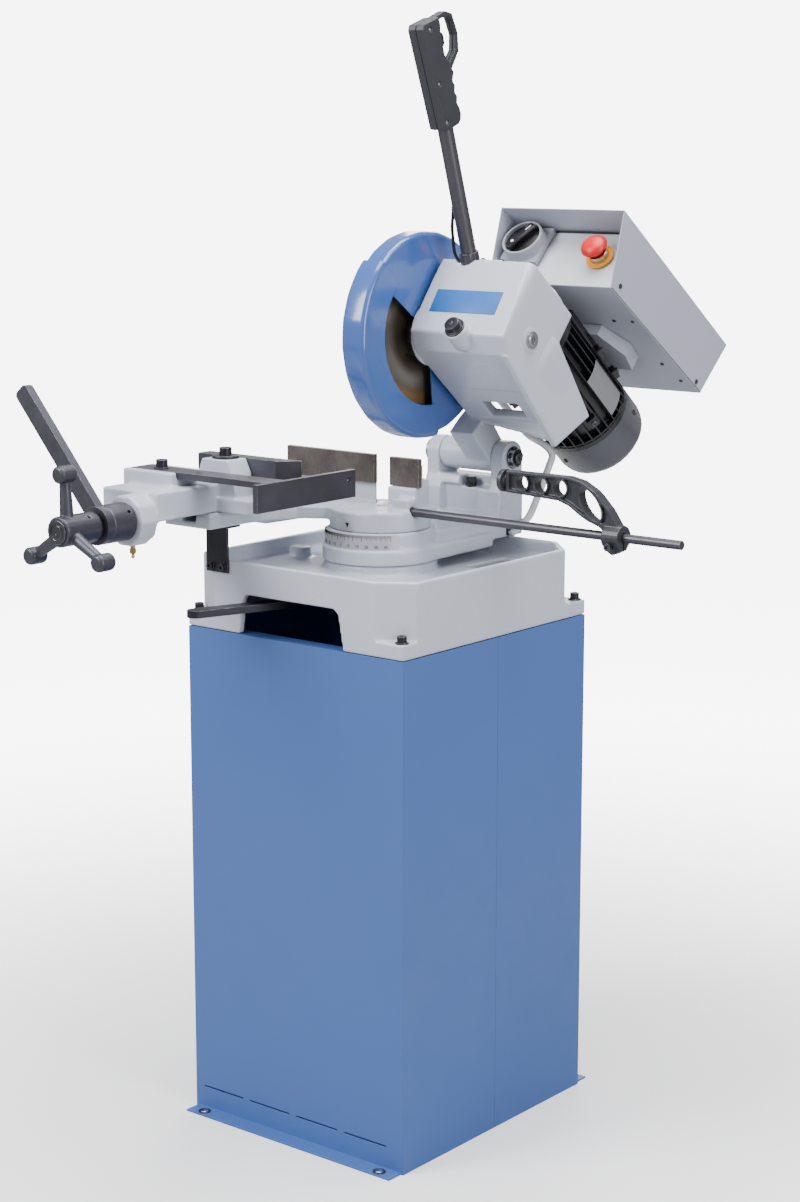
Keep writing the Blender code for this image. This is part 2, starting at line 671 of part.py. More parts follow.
# =========================================================================
# Length stop: rod in the right-hand post, arm clamped on the rod
# =========================================================================
ARM_HALF = 8             # half thickness of the arm
WEB_HALF = 3.4           # half thickness left between the pockets
STOP_Z = 944.5           # stop pad and stem
STOP_SCREW_X, STOP_SCREW_Z = 405, 874.5
OVAL_X, OVAL_Z, OVAL_TILT = 369, 925, -52

# outlines in the plane of the rod (x, z)
ARM_OUTER = [(232, 959), (332, 959), (353, 955), (376, 943), (398, 922),
             (412, 902), (418, 893), (418, 869), (404, 862), (392, 869),
             (392, 892), (382, 898), (366, 903), (350, 911), (336, 920),
             (318, 926), (232, 930)]
WEB_PLAN = [(237, 955.2), (331, 955.2), (351.5, 951.3), (373.5, 939.8),
            (394.8, 919.4), (400, 911.5), (389, 903.2), (383, 902.6),
            (367.5, 907.4), (352, 915), (337, 924), (318.8, 930.2), (237, 934)]
# x, z, hole radius, rim radius
EYELETS = [(258, 944.5, 9.5, 12.3), (289, 944, 10.0, 12.8), (320, 943, 10.5, 13.2)]


def oval(half_length, half_width, count, shift=0.0):
    """Tilted ellipse in the arm; shift is in steps along the loop."""
    cos, sin = polar(0, 0, 1, OVAL_TILT)
    points = []
    for i in range(count):
        angle = 2 * math.pi * (i + shift) / count
        along = half_length * math.cos(angle)
        across = half_width * math.sin(angle)
        points.append((OVAL_X + along * cos - across * sin,
                       OVAL_Z + along * sin + across * cos))
    return points


def on_stop_screw(y):
    return (STOP_SCREW_X, y, STOP_SCREW_Z)


cyl("stop_rod", on_rod(42), X, ROD_R, 465, ROD, "gunmetal", 16)

stop_arm = prism("stop_arm", "Y", ARM_OUTER, *around(ROD_Y, ARM_HALF), STOP, "plastic",
                 holes=[round_hole(x, z, radius, 15) for x, z, radius, _ in EYELETS]
                 + [oval(24, 12, 18)[::-1]])
join(stop_arm,
     cyl("stop_clamp", on_rod(392), X, 16.5, 26, STOP, sides=20),
     cyl("stop_pad", (221, ROD_Y, STOP_Z), X, 15.5, 7, STOP, sides=20),
     cyl("stop_stem", (225, ROD_Y, STOP_Z), X, 8, 16, STOP, sides=14))
cut(stop_arm,
    cyl("stop_bore", on_rod(380), X, ROD_R + 0.35, 50, STOP, sides=16),
    box("stop_split", (385, 425), around(ROD_Y, 1.2), (860, 884), STOP),
    cyl("stop_screw_hole", on_stop_screw(ROD_Y - 30), Y, 3.3, 60, STOP, sides=10),
    cyl("stop_spot", on_stop_screw(-60), Y, 5.6, 16.5, STOP, sides=12))

# web pockets between the rims, on both faces
for low, high in ((ROD_Y - 12, ROD_Y - WEB_HALF), (ROD_Y + WEB_HALF, ROD_Y + 12)):
    pocket = prism(f"web_{low:.0f}", "Y", WEB_PLAN, low, high, STOP)
    cut(pocket,
        *[cyl(f"eyelet_{i}_{low - 1:.0f}", (x, low - 1, z), Y, rim,
              high + 1 - (low - 1), STOP, sides=14)
          for i, (x, z, _, rim) in enumerate(EYELETS)],
        prism(f"oval_rim_{low:.0f}", "Y", oval(27, 15, 20, shift=0.5),
              low - 1.5, high + 1.5, STOP))
    cut(stop_arm, pocket)

stop_screw = cyl("stop_screw", on_stop_screw(-49.2), Y, 5.2, 5.5, STOP, "steel", 12)
join(stop_screw, cyl("stop_screw_shank", on_stop_screw(-45), Y, 3.0, 30, STOP, sides=10))
cut(stop_screw, cyl("stop_socket", on_stop_screw(-52), Y, 2.6, 5, STOP, sides=6))

# =========================================================================
# Swivel arm: ring on the base boss, column with the hinge ears at the back
# =========================================================================
COLUMN_HALF = 70.5       # half width of the column over the ears
EAR_INNER = 47.5         # half width between the ears
RING_BOTTOM = 813.8
PIN_R, PIN_BORE_R = 12.0, 12.3
DEPTH_SCREW = (6, 184)   # x, y

ear_side = ([(175, 900)] + arc(HINGE_Y, HINGE_Z, 24.5, 180, 0, 14)
            + [(223.9, 840), (175, 840)])

swivel = cyl("swivel_arm", on_swivel(RING_BOTTOM), Z, 82.5, 21.4, SWIVEL, "cast", 40)
join(swivel,
     cyl("swivel_hub", on_swivel(830), Z, 76.5, 28.3, SWIVEL, sides=40),
     prism("swivel_skirt", "Z",
           [(-81, -25), (81, -25), (76, 110), (70, 176), (-70, 176), (-76, 110)],
           814.1, 834.9, SWIVEL),
     prism("swivel_beam", "Z",
           [(-58, 10), (58, 10), (64, 120), (COLUMN_HALF, 168), (COLUMN_HALF, 225),
            (-COLUMN_HALF, 225), (-COLUMN_HALF, 168), (-64, 120)],
           RING_BOTTOM, 851, SWIVEL),
     prism("column", "X", [(160, 830), (168, 890), (175, 909), (225, 909), (225, 830)],
           -COLUMN_HALF, COLUMN_HALF, SWIVEL),
     prism("ear_left", "X", ear_side, -COLUMN_HALF, -EAR_INNER, SWIVEL),
     prism("ear_right", "X", ear_side, EAR_INNER, COLUMN_HALF, SWIVEL))
cut(swivel,
    box("beam_relief", (-120, 120), (150, 240), (790, 823.5), SWIVEL),
    cyl("swivel_bore", on_swivel(800), Z, POST_BORE_R, 80, SWIVEL, sides=20),
    cyl("pin_bore", on_hinge(-90), X, PIN_BORE_R, 180, SWIVEL, sides=20),
    cyl("barrel_room", on_hinge(-EAR_INNER), X, 26.5, 2 * EAR_INNER, SWIVEL, sides=24),
    box("front_pocket", (-40, 30), (150, 178), (856, 896), SWIVEL),
    cyl("stop_tap", (*DEPTH_SCREW, 866), Z, 4.3, 40, SWIVEL, sides=10),
    box("depth_room", (-8, 47.4), (170, 196), (893, 915), SWIVEL))

# angle scale: thin band round the front of the hub
scale = lathe("angle_scale", [(78.6, 21.5), (78.6, 0), (76.9, 0), (76.9, 21.5)],
              on_swivel(835.6), Z, SWIVEL, "scale", 48, ring=True)
cut(scale, box("scale_back", (-100, 100), (-60, 120), (830, 865), SWIVEL))

pin = cyl("hinge_pin", on_hinge(-79), X, PIN_R, 149.4, SWIVEL, "steel", 20)
join(pin,
     cyl("pin_head", on_hinge(-79), X, 17, 8.2, SWIVEL, sides=20),
     cyl("hinge_thread", on_hinge(60), X, 8.0, 21, SWIVEL, sides=14),
     cyl("hinge_nut", on_hinge(72.6), X, 14.8, 6.4, SWIVEL, sides=6, spin=10),
     cyl("hinge_washer", on_hinge(70.8), X, 15.6, 2.2, SWIVEL, sides=20))

depth_screw = cyl("depth_stop_screw", (*DEPTH_SCREW, 868), Z, 4.0, 36, SWIVEL,
                  "gunmetal", 12)
join(depth_screw,
     cyl("depth_nut", (*DEPTH_SCREW, 893.4), Z, 7.8, 6.2, SWIVEL, sides=6, spin=8),
     cyl("depth_head", (*DEPTH_SCREW, 900.9), Z, 7.8, 6.6, SWIVEL, sides=6, spin=21))

# =========================================================================
# Saw head (head frame: origin on the hinge axis)
# =========================================================================
HEAD_X0, HEAD_X1 = 25, 187
FILL_X, FILL_Z = 111, 31                 # oil fill plug, in the front wall
LEVEL_Y, LEVEL_Z = -211, 64              # oil level plug, in the right wall
PLUG_BORE_R, PLUG_R = 8.3, 8.0

HANDLE_BASE = Vector((HANDLE_X, HANDLE_Y, HANDLE_Z))
handle_rise = math.radians(HANDLE_RISE)
HANDLE_DIR = Vector((0, -math.cos(handle_rise), math.sin(handle_rise)))


def on_handle(along):
    return HANDLE_BASE + HANDLE_DIR * along


# (x, y): gear housing with its two front corners rounded
gear_plan = ([(HEAD_X0, -152)] + arc(32, -267, 7, 180, 270, 3)
             + arc(173, -260, 14, -90, 0, 4) + [(HEAD_X1, -152)])

head = prism("head_casting", "Z", gear_plan, 16.0, 150.0, HEAD, "cast")
join(head,
     prism("floor_web", "Z", rect((HEAD_X0, HEAD_X1), (-160, -64)), 16.5, 31, HEAD,
           holes=[[(72, -82), (72, -118), (135, -118), (135, -82)]]),
     prism("side_web", "X", [(-262, 16.2), (-156, 104), (-22, 68), (-62, -13)],
           178, HEAD_X1, HEAD),
     prism("left_web", "X",
           [(-156, 120), (-100, 52), (-66, 34), (-66, 20), (-156, 20)],
           HEAD_X0, 34, HEAD),
     prism("rear_web", "Y", [(30, 17), (184, 17), (184, -8), (120, 4)],
           -72, -62.5, HEAD),
     cyl("motor_seat", on_motor(-168), Y, 71.5, 15.7, HEAD, sides=32),
     prism("neck_a", "X", [(-8, -20), (-74, -12), (-68, 20), (-64, 33), (-8, 22)],
           2, 46, HEAD),
     prism("neck_b", "X", [(-60, 18), (-108, 17), (-108, 30.5), (-60, 33)],
           25.4, 45.8, HEAD),
     cyl("barrel", (-47.2, 0, 0), X, 24, 94.4, HEAD, sides=28),
     cyl("handle_boss", on_handle(-26), HANDLE_DIR, 17.5, 30, HEAD, sides=20))
# slopes the front face
cut(head,
    prism("front_draft", "X",
          [(-300, 165), (-274.8, 153), (-265.2, 32.5), (-263.4, 29.6),
           (-238, 15.4), (-300, 0)], 10, 200, HEAD))
join(head, cyl("plug_seat", (FILL_X, -276, FILL_Z), Y, 17, 30, HEAD, sides=24))
cut(head,
    cyl("barrel_bore", (-60, 0, 0), X, PIN_BORE_R, 120, HEAD, sides=20),
    cyl("wheel_room", on_spindle(20), X, 38.4, 132, HEAD, sides=28),
    cyl("right_bearing_seat", on_spindle(150), X, 26.4, 17, HEAD),
    cyl("worm_room", on_motor(-264), Y, 30.5, 120, HEAD),
    cyl("motor_clear", on_motor(-152.0), Y, 72.6, 200, HEAD, sides=32),
    cyl("handle_bore", on_handle(-20), HANDLE_DIR, 11.5, 60, HEAD, sides=20),
    cyl("handle_spot", on_handle(4.0), HANDLE_DIR, 19.5, 40, HEAD, sides=20),
    cyl("fill_bore", (FILL_X, -290, FILL_Z), Y, PLUG_BORE_R, 56, HEAD, sides=14),
    cyl("level_bore", (165, LEVEL_Y, LEVEL_Z), X, PLUG_BORE_R, 40, HEAD, sides=14))

# turned profiles: (radius, height)
COVER_PROFILE = [(45, 24.6), (45, 21.8), (15.7, 21.8), (15.7, 28), (26.4, 28),
                 (26.4, 46), (38.0, 46), (38.0, 24.6)]
SPINDLE_PROFILE = [(0, 166), (15.0, 166), (15.0, 10.2), (34, 10.2), (34, 1.3),
                   (15.7, 1.3), (15.7, -1.0), (6.3, -1.0), (6.3, 34), (0, 34)]
FLANGE_PROFILE = [(34, -1.3), (34, -6), (30, -8.5), (6.4, -8.5), (6.4, -1.3)]
BEARING_R, BEARING_BORE_R, BEARING_W = 26.1, 15.35, 15.0

lathe("bearing_cover", COVER_PROFILE, on_spindle(0), X, HEAD, "cast", 30, ring=True)
for side_name, x in (("left", 28.3), ("right", 151.5)):
    lathe(f"spindle_bearing_{side_name}",
          [(BEARING_R, x + BEARING_W), (BEARING_R, x),
           (BEARING_BORE_R, x), (BEARING_BORE_R, x + BEARING_W)],
          on_spindle(0), X, HEAD, "steel", 24, ring=True)


# ---- spindle, blade and clamping flange --------------------------------
def toothed(teeth, tooth):
    """Outline round the spindle. tooth: (fraction of the pitch, radius)."""
    points = []
    pitch = 2 * math.pi / teeth
    for i in range(teeth):
        start = 2 * math.pi * i / teeth
        for fraction, radius in tooth:
            angle = start + fraction * pitch
            points.append((SPINDLE_Y + radius * math.cos(angle),
                           SPINDLE_Z + radius * math.sin(angle)))
    return points


TOOTH_DEPTH, WHEEL_TOOTH_DEPTH = 3.8, 4
WHEEL_HALF = 14

BLADE_TOOTH = [(0.0, BLADE_R), (0.12, BLADE_R - TOOTH_DEPTH),
               (0.42, BLADE_R - TOOTH_DEPTH)]
WHEEL_TOOTH = [(0.0, WHEEL_R - WHEEL_TOOTH_DEPTH), (0.25, WHEEL_R), (0.5, WHEEL_R),
               (0.75, WHEEL_R - WHEEL_TOOTH_DEPTH)]

lathe("spindle", SPINDLE_PROFILE, on_spindle(0), X, SPINDLE, "steel")
prism("saw_blade", "X", toothed(BLADE_TEETH, BLADE_TOOTH), -BLADE_T / 2, BLADE_T / 2,
      SPINDLE, "blade", holes=[round_hole(SPINDLE_Y, SPINDLE_Z, 16.0, 23)])
lathe("blade_flange", FLANGE_PROFILE, on_spindle(0), X, SPINDLE, "gunmetal", 24,
      ring=True)
blade_bolt = cyl("blade_bolt", on_spindle(-15.5), X, 10.5, 6.7, SPINDLE, "gunmetal", 6)
join(blade_bolt, cyl("blade_bolt_shank", on_spindle(-12), X, 6.0, 44, SPINDLE, sides=14))
prism("worm_wheel", "X", toothed(WHEEL_TEETH, WHEEL_TOOTH), *around(MOTOR_X, WHEEL_HALF),
      SPINDLE, "bronze", holes=[round_hole(SPINDLE_Y, SPINDLE_Z, 15.3, 23)])

# ---- worm and motor rotor on one line ----------------------------------
WORM_RIDGES, WORM_PITCH = 5, 13.0
WORM_ROOT_R, WORM_RIDGE_R = 23.0, 28.6
ROTOR_PROFILE = [(0, 100), (9, 100), (9, 44), (40, 44), (40, -112), (10, -112),
                 (10, -139.6), (0, -139.6)]  # radius, y
FAN_BLADES = 7


def worm_profile():
    """(radius, y) pairs; the thread is a row of separate ridges."""
    profile = [(0, -140), (11, -140), (11, -176)]
    for i in range(WORM_RIDGES):
        start = -190 - i * WORM_PITCH
        profile += [(WORM_ROOT_R, start), (WORM_RIDGE_R, start - 3.6),
                    (WORM_RIDGE_R, start - 6.4), (WORM_ROOT_R, start - 10.0)]
    return profile + [(11, -256), (11, -261), (0, -261)]


def spoke(index, count, inner, outer, half):
    """Radial bar round the motor axis, as an (x, z) outline."""
    angle = 2 * math.pi * index / count
    cos, sin = math.cos(angle), math.sin(angle)
    return [(MOTOR_X + along * cos - across * sin, MOTOR_Z + along * sin + across * cos)
            for along, across in ((inner, half), (inner, -half),
                                  (outer, -half), (outer, half))]


lathe("worm_shaft", worm_profile(), on_motor(0), Y, MOTOR, "steel", 20)
rotor = lathe("motor_rotor", ROTOR_PROFILE, on_motor(0), Y, MOTOR, "steel", 24)
fan_hub = cyl("fan_hub", on_motor(70), Y, 20, 22, MOTOR, sides=16)
join(fan_hub, *[prism(f"fan_blade_{i}", "Y", spoke(i, FAN_BLADES, 14, 58, 1.5),
                      72, 90, MOTOR) for i in range(FAN_BLADES)])
join(rotor, fan_hub)

# ---- motor body and cowl -----------------------------------------------
FINS, FIN_ROOT_R, FIN_TIP_R, FIN_HALF = 30, 59.0, 69.5, 1.5
FIN_TAPER = 0.7          # tip width over root width
VENTS = 10
COWL_PROFILE = [(68.2, 60), (68.2, 111.5), (66.3, 118.8), (60.5, 125.3), (51, 129),
                (14, 130), (14, 132), (52, 131), (62, 127), (68, 120), (70, 112),
                (70, 60)]  # radius, y


def fin_outline():
    """(x, z) outline of the body with its cooling fins."""
    points = []
    at_root = FIN_HALF / FIN_ROOT_R
    at_tip = FIN_HALF / FIN_TIP_R * FIN_TAPER
    for i in range(FINS):
        middle = 2 * math.pi * i / FINS
        for radius, offset in ((FIN_ROOT_R, -at_root), (FIN_TIP_R, -at_tip),
                               (FIN_TIP_R, at_tip), (FIN_ROOT_R, at_root)):
            points.append((MOTOR_X + radius * math.cos(middle + offset),
                           MOTOR_Z + radius * math.sin(middle + offset)))
    return points


motor = prism("motor_body", "Y", fin_outline(), -134, 52, HEAD, "black")
join(motor,
     cyl("motor_flange", on_motor(-151.7), Y, 70.5, 22, HEAD, sides=32),
     cyl("motor_bell", on_motor(48), Y, 68.5, 11.5, HEAD, sides=32),
     box("terminal_pad", (80, 134), (-96, -10), (170, 199), HEAD))
cut(motor,
    cyl("rotor_room", on_motor(-125), Y, 43, 200, HEAD, sides=24),
    cyl("shaft_room", on_motor(-160), Y, 12.5, 60, HEAD, sides=16))

cowl = lathe("motor_cowl", COWL_PROFILE, on_motor(0), Y, HEAD, "cowl", 30, ring=True)
cut(cowl, *[prism(f"vent_{i}", "Y", spoke(i, VENTS, 22, 46, 3), 120, 140, HEAD)
            for i in range(VENTS)])

# ---- oil plugs ---------------------------------------------------------
FILL_Y = -276.3          # outer face of the plug seat, with clearance

fill_plug = cyl("oil_fill_plug", (FILL_X, FILL_Y, FILL_Z), MINUS_Y, 11.5, 9, HEAD,
                "gunmetal", 6)
join(fill_plug,
     cyl("oil_fill_plug_shank", (FILL_X, FILL_Y - 1, FILL_Z), Y, PLUG_R, 15, HEAD,
         sides=14),
     cyl("oil_fill_plug_collar", (FILL_X, FILL_Y, FILL_Z), MINUS_Y, 13.1, 2.4, HEAD,
         sides=20))
level_plug = cyl("oil_level_plug", (HEAD_X1 + GAP, LEVEL_Y, LEVEL_Z), X, 12, 4.5, HEAD,
                 "steel", 20)
join(level_plug, cyl("level_shank", (189, LEVEL_Y, LEVEL_Z), MINUS_X, PLUG_R, 16, HEAD,
                     sides=14))
cut(level_plug, cyl("level_socket", (188.5, LEVEL_Y, LEVEL_Z), X, 5.4, 10, HEAD, sides=6))

# ---- guards around the blade (angles from +Y towards +Z) ---------------
GUARD_START, GUARD_END = -45, 184
GUARD_OPEN = (GUARD_START + GUARD_END) / 2 + 180     # middle of the open side
SHIELD_START, SHIELD_END = 174, 318
RIM_T, WALL_T = 2, 1.8


def blade_arc(radius, start, end, steps):
    return arc(SPINDLE_Y, SPINDLE_Z, radius, start, end, steps)


def blade_point(radius, degrees):
    return polar(SPINDLE_Y, SPINDLE_Z, radius, degrees)


upper_guard = prism("upper_guard", "X",
                    blade_arc(GUARD_R, GUARD_START, GUARD_END, 40)
                    + [blade_point(28, GUARD_OPEN)],
                    -GUARD_HALF, GUARD_HALF, HEAD, "guard")
join(upper_guard,
     cyl("guard_spacer_a", (18, SPINDLE_Y + 44, SPINDLE_Z + 62), X, 8, 6.7, HEAD,
         sides=10),
     cyl("guard_spacer_b", (18, SPINDLE_Y - 28, SPINDLE_Z + 66), X, 8, 6.7, HEAD,
         sides=10),
     cyl("guard_stub", on_spindle(-25), X, 8, 7, HEAD, sides=14))
# the hollow runs past both ends and out through the open side
cut(upper_guard,
    prism("guard_room", "X",
          [blade_point(GUARD_R - RIM_T, GUARD_START - 5)]
          + blade_arc(GUARD_R - RIM_T, GUARD_START, GUARD_END, 40)
          + [blade_point(GUARD_R - RIM_T, GUARD_END + 5), blade_point(200, GUARD_OPEN)],
          -GUARD_HALF + WALL_T, GUARD_HALF - WALL_T, HEAD),
    cyl("guard_spindle_hole", on_spindle(15), X, 22, 10, HEAD, sides=20))

lower_guard = prism("lower_guard", "X",
                    blade_arc(SHIELD_R, SHIELD_START, SHIELD_END, 30)
                    + blade_arc(22, 334, 518, 12),
                    -SHIELD_HALF, SHIELD_HALF, SPINDLE, "guard")
cut(lower_guard,
    prism("shield_room", "X",
          blade_arc(SHIELD_R - RIM_T, SHIELD_START - 3, SHIELD_END + 3, 32)
          + blade_arc(45, 330, 522, 12),
          -SHIELD_HALF + WALL_T, SHIELD_HALF - WALL_T, SPINDLE),
    cyl("shield_window", on_spindle(SHIELD_HALF - 3), X, 101, 8, SPINDLE, sides=44),
    cyl("shield_bore", on_spindle(-30), X, 8.3, 20, SPINDLE, sides=14))

# =========================================================================
# Handle: tube, nut, two grip shells and the trigger
# =========================================================================
GRIP_HALF = 13.5         # half width of the closed grip
GRIP_WALL = 3
BOW_HALF = 6.4           # half width of the bow round the trigger
GRIP_BACK = Vector((0, math.sin(handle_rise), math.cos(handle_rise)))

# (distance along the handle, distance across it towards GRIP_BACK)
GRIP_OUTLINE = [(201, -17), (340, -24), (346, -20), (347, 14), (349, 38), (342, 52),
                (314, 57), (290, 52), (272, 31), (266, 23), (258, 19), (251, 22),
                (243, 19), (235, 22.5), (227, 19.5), (219, 23), (211, 24), (203, 21),
                (199, 15), (197, -8)]
BOW_HOLE = [(279.5, 26), (294, 46), (313, 52), (337, 47.5), (342.3, 37), (341, 19),
            (328, 15.4), (310, 13.4), (289, 16.6)]
GRIP_ROOM = [(250, -13.5), (331, -18), (331, 9), (286, 9), (270, 13), (250, 13)]
BOW_SIDE = [(258, 33), (271, 23.4), (281, 20.5), (296, 12.2), (328, 12.4), (336, 15),
            (360, 13), (360, 72), (258, 72)]
TRIGGER_SLOT = [(303, 1), (303, 25), (326.8, 25), (326.8, 1)]
TRIGGER = [(304.5, 5), (304.5, 21), (309, 25), (321, 25), (325.5, 21), (325.5, 5)]
GRIP_SCREWS = [(336.0, -8.0), (262.0, -10.0), (208.0, -9.0)]


def grip_path(points):
    """Handle coordinates turned into (y, z) of the head frame."""
    places = [on_handle(along) + GRIP_BACK * back for along, back in points]
    return [(place.y, place.z) for place in places]


def grip(name, side):
    """Half shell of the grip; side is -1 on the left, 1 on the right."""
    def span(near, far):
        return sorted((HANDLE_X + side * near, HANDLE_X + side * far))

    shell = prism(name, "X", grip_path(GRIP_OUTLINE), *span(GAP / 2, GRIP_HALF),
                  HEAD, "plastic", holes=[grip_path(BOW_HOLE)[::-1]])
    cut(shell,
        prism(name + "_room", "X", grip_path(GRIP_ROOM),
              *span(GAP / 2 - 1, GRIP_HALF - GRIP_WALL), HEAD),
        prism(name + "_bow_side", "X", grip_path(BOW_SIDE),
              *span(BOW_HALF, GRIP_HALF + 4), HEAD),
        cyl(name + "_tube_seat", on_handle(170), HANDLE_DIR, 11.3, 84, HEAD, sides=18,
            spin=5),
        prism(name + "_trigger_slot", "X", grip_path(TRIGGER_SLOT),
              HANDLE_X - 7.2, HANDLE_X + 7.1, HEAD))
    return shell


handle = cyl("handle_tube", on_handle(-18), HANDLE_DIR, 11.0, 258, HEAD, "gunmetal", 20)
join(handle, cyl("handle_nut", on_handle(4.3), HANDLE_DIR, 13.8, 15, HEAD, sides=6,
                 spin=12))
cut(handle, cyl("tube_hollow", on_handle(-30), HANDLE_DIR, 9.0, 300, HEAD, sides=16))

grip("grip_shell_left", -1)
grip_right = grip("grip_shell_right", 1)
cut(grip_right, *[cyl(f"grip_screw_hole_{i}", (HANDLE_X + 10.5, y, z), X, 3.2, 10, HEAD,
                      sides=10)
                  for i, (y, z) in enumerate(grip_path(GRIP_SCREWS))])
prism("trigger", "X", grip_path(TRIGGER), *around(HANDLE_X, 6.7), HEAD, "black")

# =========================================================================
# Control box on the motor
# =========================================================================
BOX_WALL = 1.8
# (y, z)
BOX_SIDE = [(-141, 208), (153, 235), (166, 334), (-186, 311)]
BOX_ROOM = [(-200, 204.4), (-141, 209.8), (151.4, 236.8), (164, 332),
            (-186, 309.2), (-230, 306.3)]
PANEL_SIDE = [(-139.6, 210.4), (-137.6, 210.6), (-129.2, 312.2), (-131.2, 312.0)]
PANEL_LEAN = math.radians(4.7)
PANEL_OUT = Vector((0, -math.cos(PANEL_LEAN), math.sin(PANEL_LEAN)))
KNOB_SPOT = Vector((43, -135.6, 274.5))
ESTOP_SPOT = Vector((176, -136.2, 262))
ESTOP_PROFILE = [(0, 35), (10, 34.2), (16, 32), (19.5, 28.2), (20, 25), (17.5, 22.5),
                 (12.5, 18), (12.2, 16.8), (8.6, 16.8), (8.6, 2), (0, 2)]  # radius, height


def on_panel(name, spot, lift, radius, height, at=HEAD, paint=None, sides=22):
    """Cylinder square to the front panel, starting lift in front of spot."""
    return cyl(name, spot + PANEL_OUT * lift, PANEL_OUT, radius, height, at, paint, sides)


def panel_block(name, spot, width, height, low, high, at, paint=None, spin=0.0):
    """Block parallel to the front panel, from low to high in front of spot."""
    shape = block((width * MM, height * MM, (high - low) * MM))
    bmesh.ops.translate(shape, vec=(0, 0, (low + high) / 2 * MM), verts=shape.verts)
    if spin:
        spin_about_z(shape, spin)
    return put(mesh_of(shape, name), name, axis_turn(spot, PANEL_OUT), at, paint)


control_box = prism("control_box", "X", BOX_SIDE, BOX_X0, BOX_X1, HEAD, "box")
cut(control_box,
    prism("box_room", "X", BOX_ROOM, BOX_X0 + BOX_WALL, BOX_X1 - BOX_WALL, HEAD))

# front panel, set back under the hood
control_panel = prism("control_panel", "X", PANEL_SIDE, BOX_X0 + BOX_WALL + GAP,
                      BOX_X1 - BOX_WALL - GAP, HEAD, "box")
cut(control_panel,
    on_panel("knob_hole", KNOB_SPOT, -20, 8.4, 50, sides=14),
    on_panel("stop_hole", ESTOP_SPOT, -20, 11.4, 50, sides=16))

# rotary switch
switch_base = panel_block("switch_base", KNOB_SPOT, 66, 66, 2.5, 10, HEAD, "plastic")
join(switch_base,
     on_panel("switch_collar", KNOB_SPOT, 8, 31.5, 17.5, sides=28),
     on_panel("switch_shaft_tube", KNOB_SPOT, -24, 8.0, 34, sides=14))
cut(switch_base, on_panel("collar_room", KNOB_SPOT, 13.6, 28.4, 20, sides=28))
frame(KNOB, tuple(KNOB_SPOT), HEAD)
knob = on_panel("switch_knob", KNOB_SPOT, 14.0, 27.6, 8, KNOB, "black", 24)
join(knob, panel_block("knob_bar", KNOB_SPOT, 14, 50, 19, 32, KNOB, spin=-30))

# emergency stop
estop_base = on_panel("estop_base", ESTOP_SPOT, 2.4, 21.5, 2.5, HEAD, "yellow", 24)
join(estop_base,
     on_panel("estop_collar", ESTOP_SPOT, 4, 14.5, 9),
     on_panel("estop_barrel", ESTOP_SPOT, -26, 11.0, 32, sides=16))
cut(estop_base, on_panel("estop_bore", ESTOP_SPOT, -10, 9.0, 40, sides=16))
lathe("estop_button", ESTOP_PROFILE, ESTOP_SPOT, PANEL_OUT, HEAD, "red", 22)

# bracket between the motor and the sloping underside of the box
bracket = prism("box_bracket", "Z",
                [(74, -36), (147, -36), (171, 14), (165, 51), (74, 51)],
                199.4, 240, HEAD, "box")
cut(bracket, prism("below_box", "X",
                   [(-60, 215.1), (70, 227.0), (70, 260), (-60, 260)], 60, 190, HEAD))

# coolant hose, rising behind the column
tube("coolant_hose",
     [(77, 188, 830), (77, 203, 846), (80, 218, 864), (86, 231, 883), (91, 240, 904)],
     5.5, SWIVEL, "hose")
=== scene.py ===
"""Looks of a manual cold circular saw on its stand, built around its CAD frame.

The CAD frame is in metres: +X right, -Y front (the handwheel side), +Z up, floor
at z = 0. The saw head has its own frame, in millimetres: its origin is on the tilt
hinge and +Y runs back along the motor. head() turns a head point into the CAD
frame at rest. Other lengths are millimetres too, except in lights and camera.
"""

import math

import bmesh
import bpy
from mathutils import Matrix, Vector

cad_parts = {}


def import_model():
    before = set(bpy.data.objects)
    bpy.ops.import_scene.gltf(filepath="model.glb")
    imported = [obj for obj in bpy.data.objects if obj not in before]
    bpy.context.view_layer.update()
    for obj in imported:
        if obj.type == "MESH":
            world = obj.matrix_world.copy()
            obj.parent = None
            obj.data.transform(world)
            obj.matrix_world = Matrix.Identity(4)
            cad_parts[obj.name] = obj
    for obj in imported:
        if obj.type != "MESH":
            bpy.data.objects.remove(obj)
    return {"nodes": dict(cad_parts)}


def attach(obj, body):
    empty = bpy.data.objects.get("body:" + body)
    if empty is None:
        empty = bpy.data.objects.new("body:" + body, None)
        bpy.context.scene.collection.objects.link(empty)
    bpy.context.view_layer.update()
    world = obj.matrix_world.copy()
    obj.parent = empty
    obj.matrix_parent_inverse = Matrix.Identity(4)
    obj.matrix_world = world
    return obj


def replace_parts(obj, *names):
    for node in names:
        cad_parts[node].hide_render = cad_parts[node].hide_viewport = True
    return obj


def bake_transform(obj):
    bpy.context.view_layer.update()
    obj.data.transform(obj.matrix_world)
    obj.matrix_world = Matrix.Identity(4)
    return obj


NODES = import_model()["nodes"]
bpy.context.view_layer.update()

MM = 0.001
HINGE = Vector((0.0, 0.1994, 0.9391))  # metres
TILT = Matrix.Rotation(math.radians(-40), 4, "X")
HEAD = Matrix.Translation(HINGE) @ TILT

# head frame, mm
BLADE_Y, BLADE_Z = -220.5, 57.0
MOTOR_X, MOTOR_Z = 107, 124

# CAD frame, mm
VISE_SCREW_X, VISE_SCREW_Z = -150, 894
SWIVEL_Y = -19


def mm(x, y, z):
    return Vector((x, y, z)) * MM


def head(x, y, z):
    return HEAD @ mm(x, y, z)


def head_dir(x, y, z):
    return (TILT.to_3x3() @ Vector((x, y, z))).normalized()


RIGHT, LEFT = head_dir(1, 0, 0), head_dir(-1, 0, 0)
BACK, FRONT = head_dir(0, 1, 0), head_dir(0, -1, 0)
UP = head_dir(0, 0, 1)


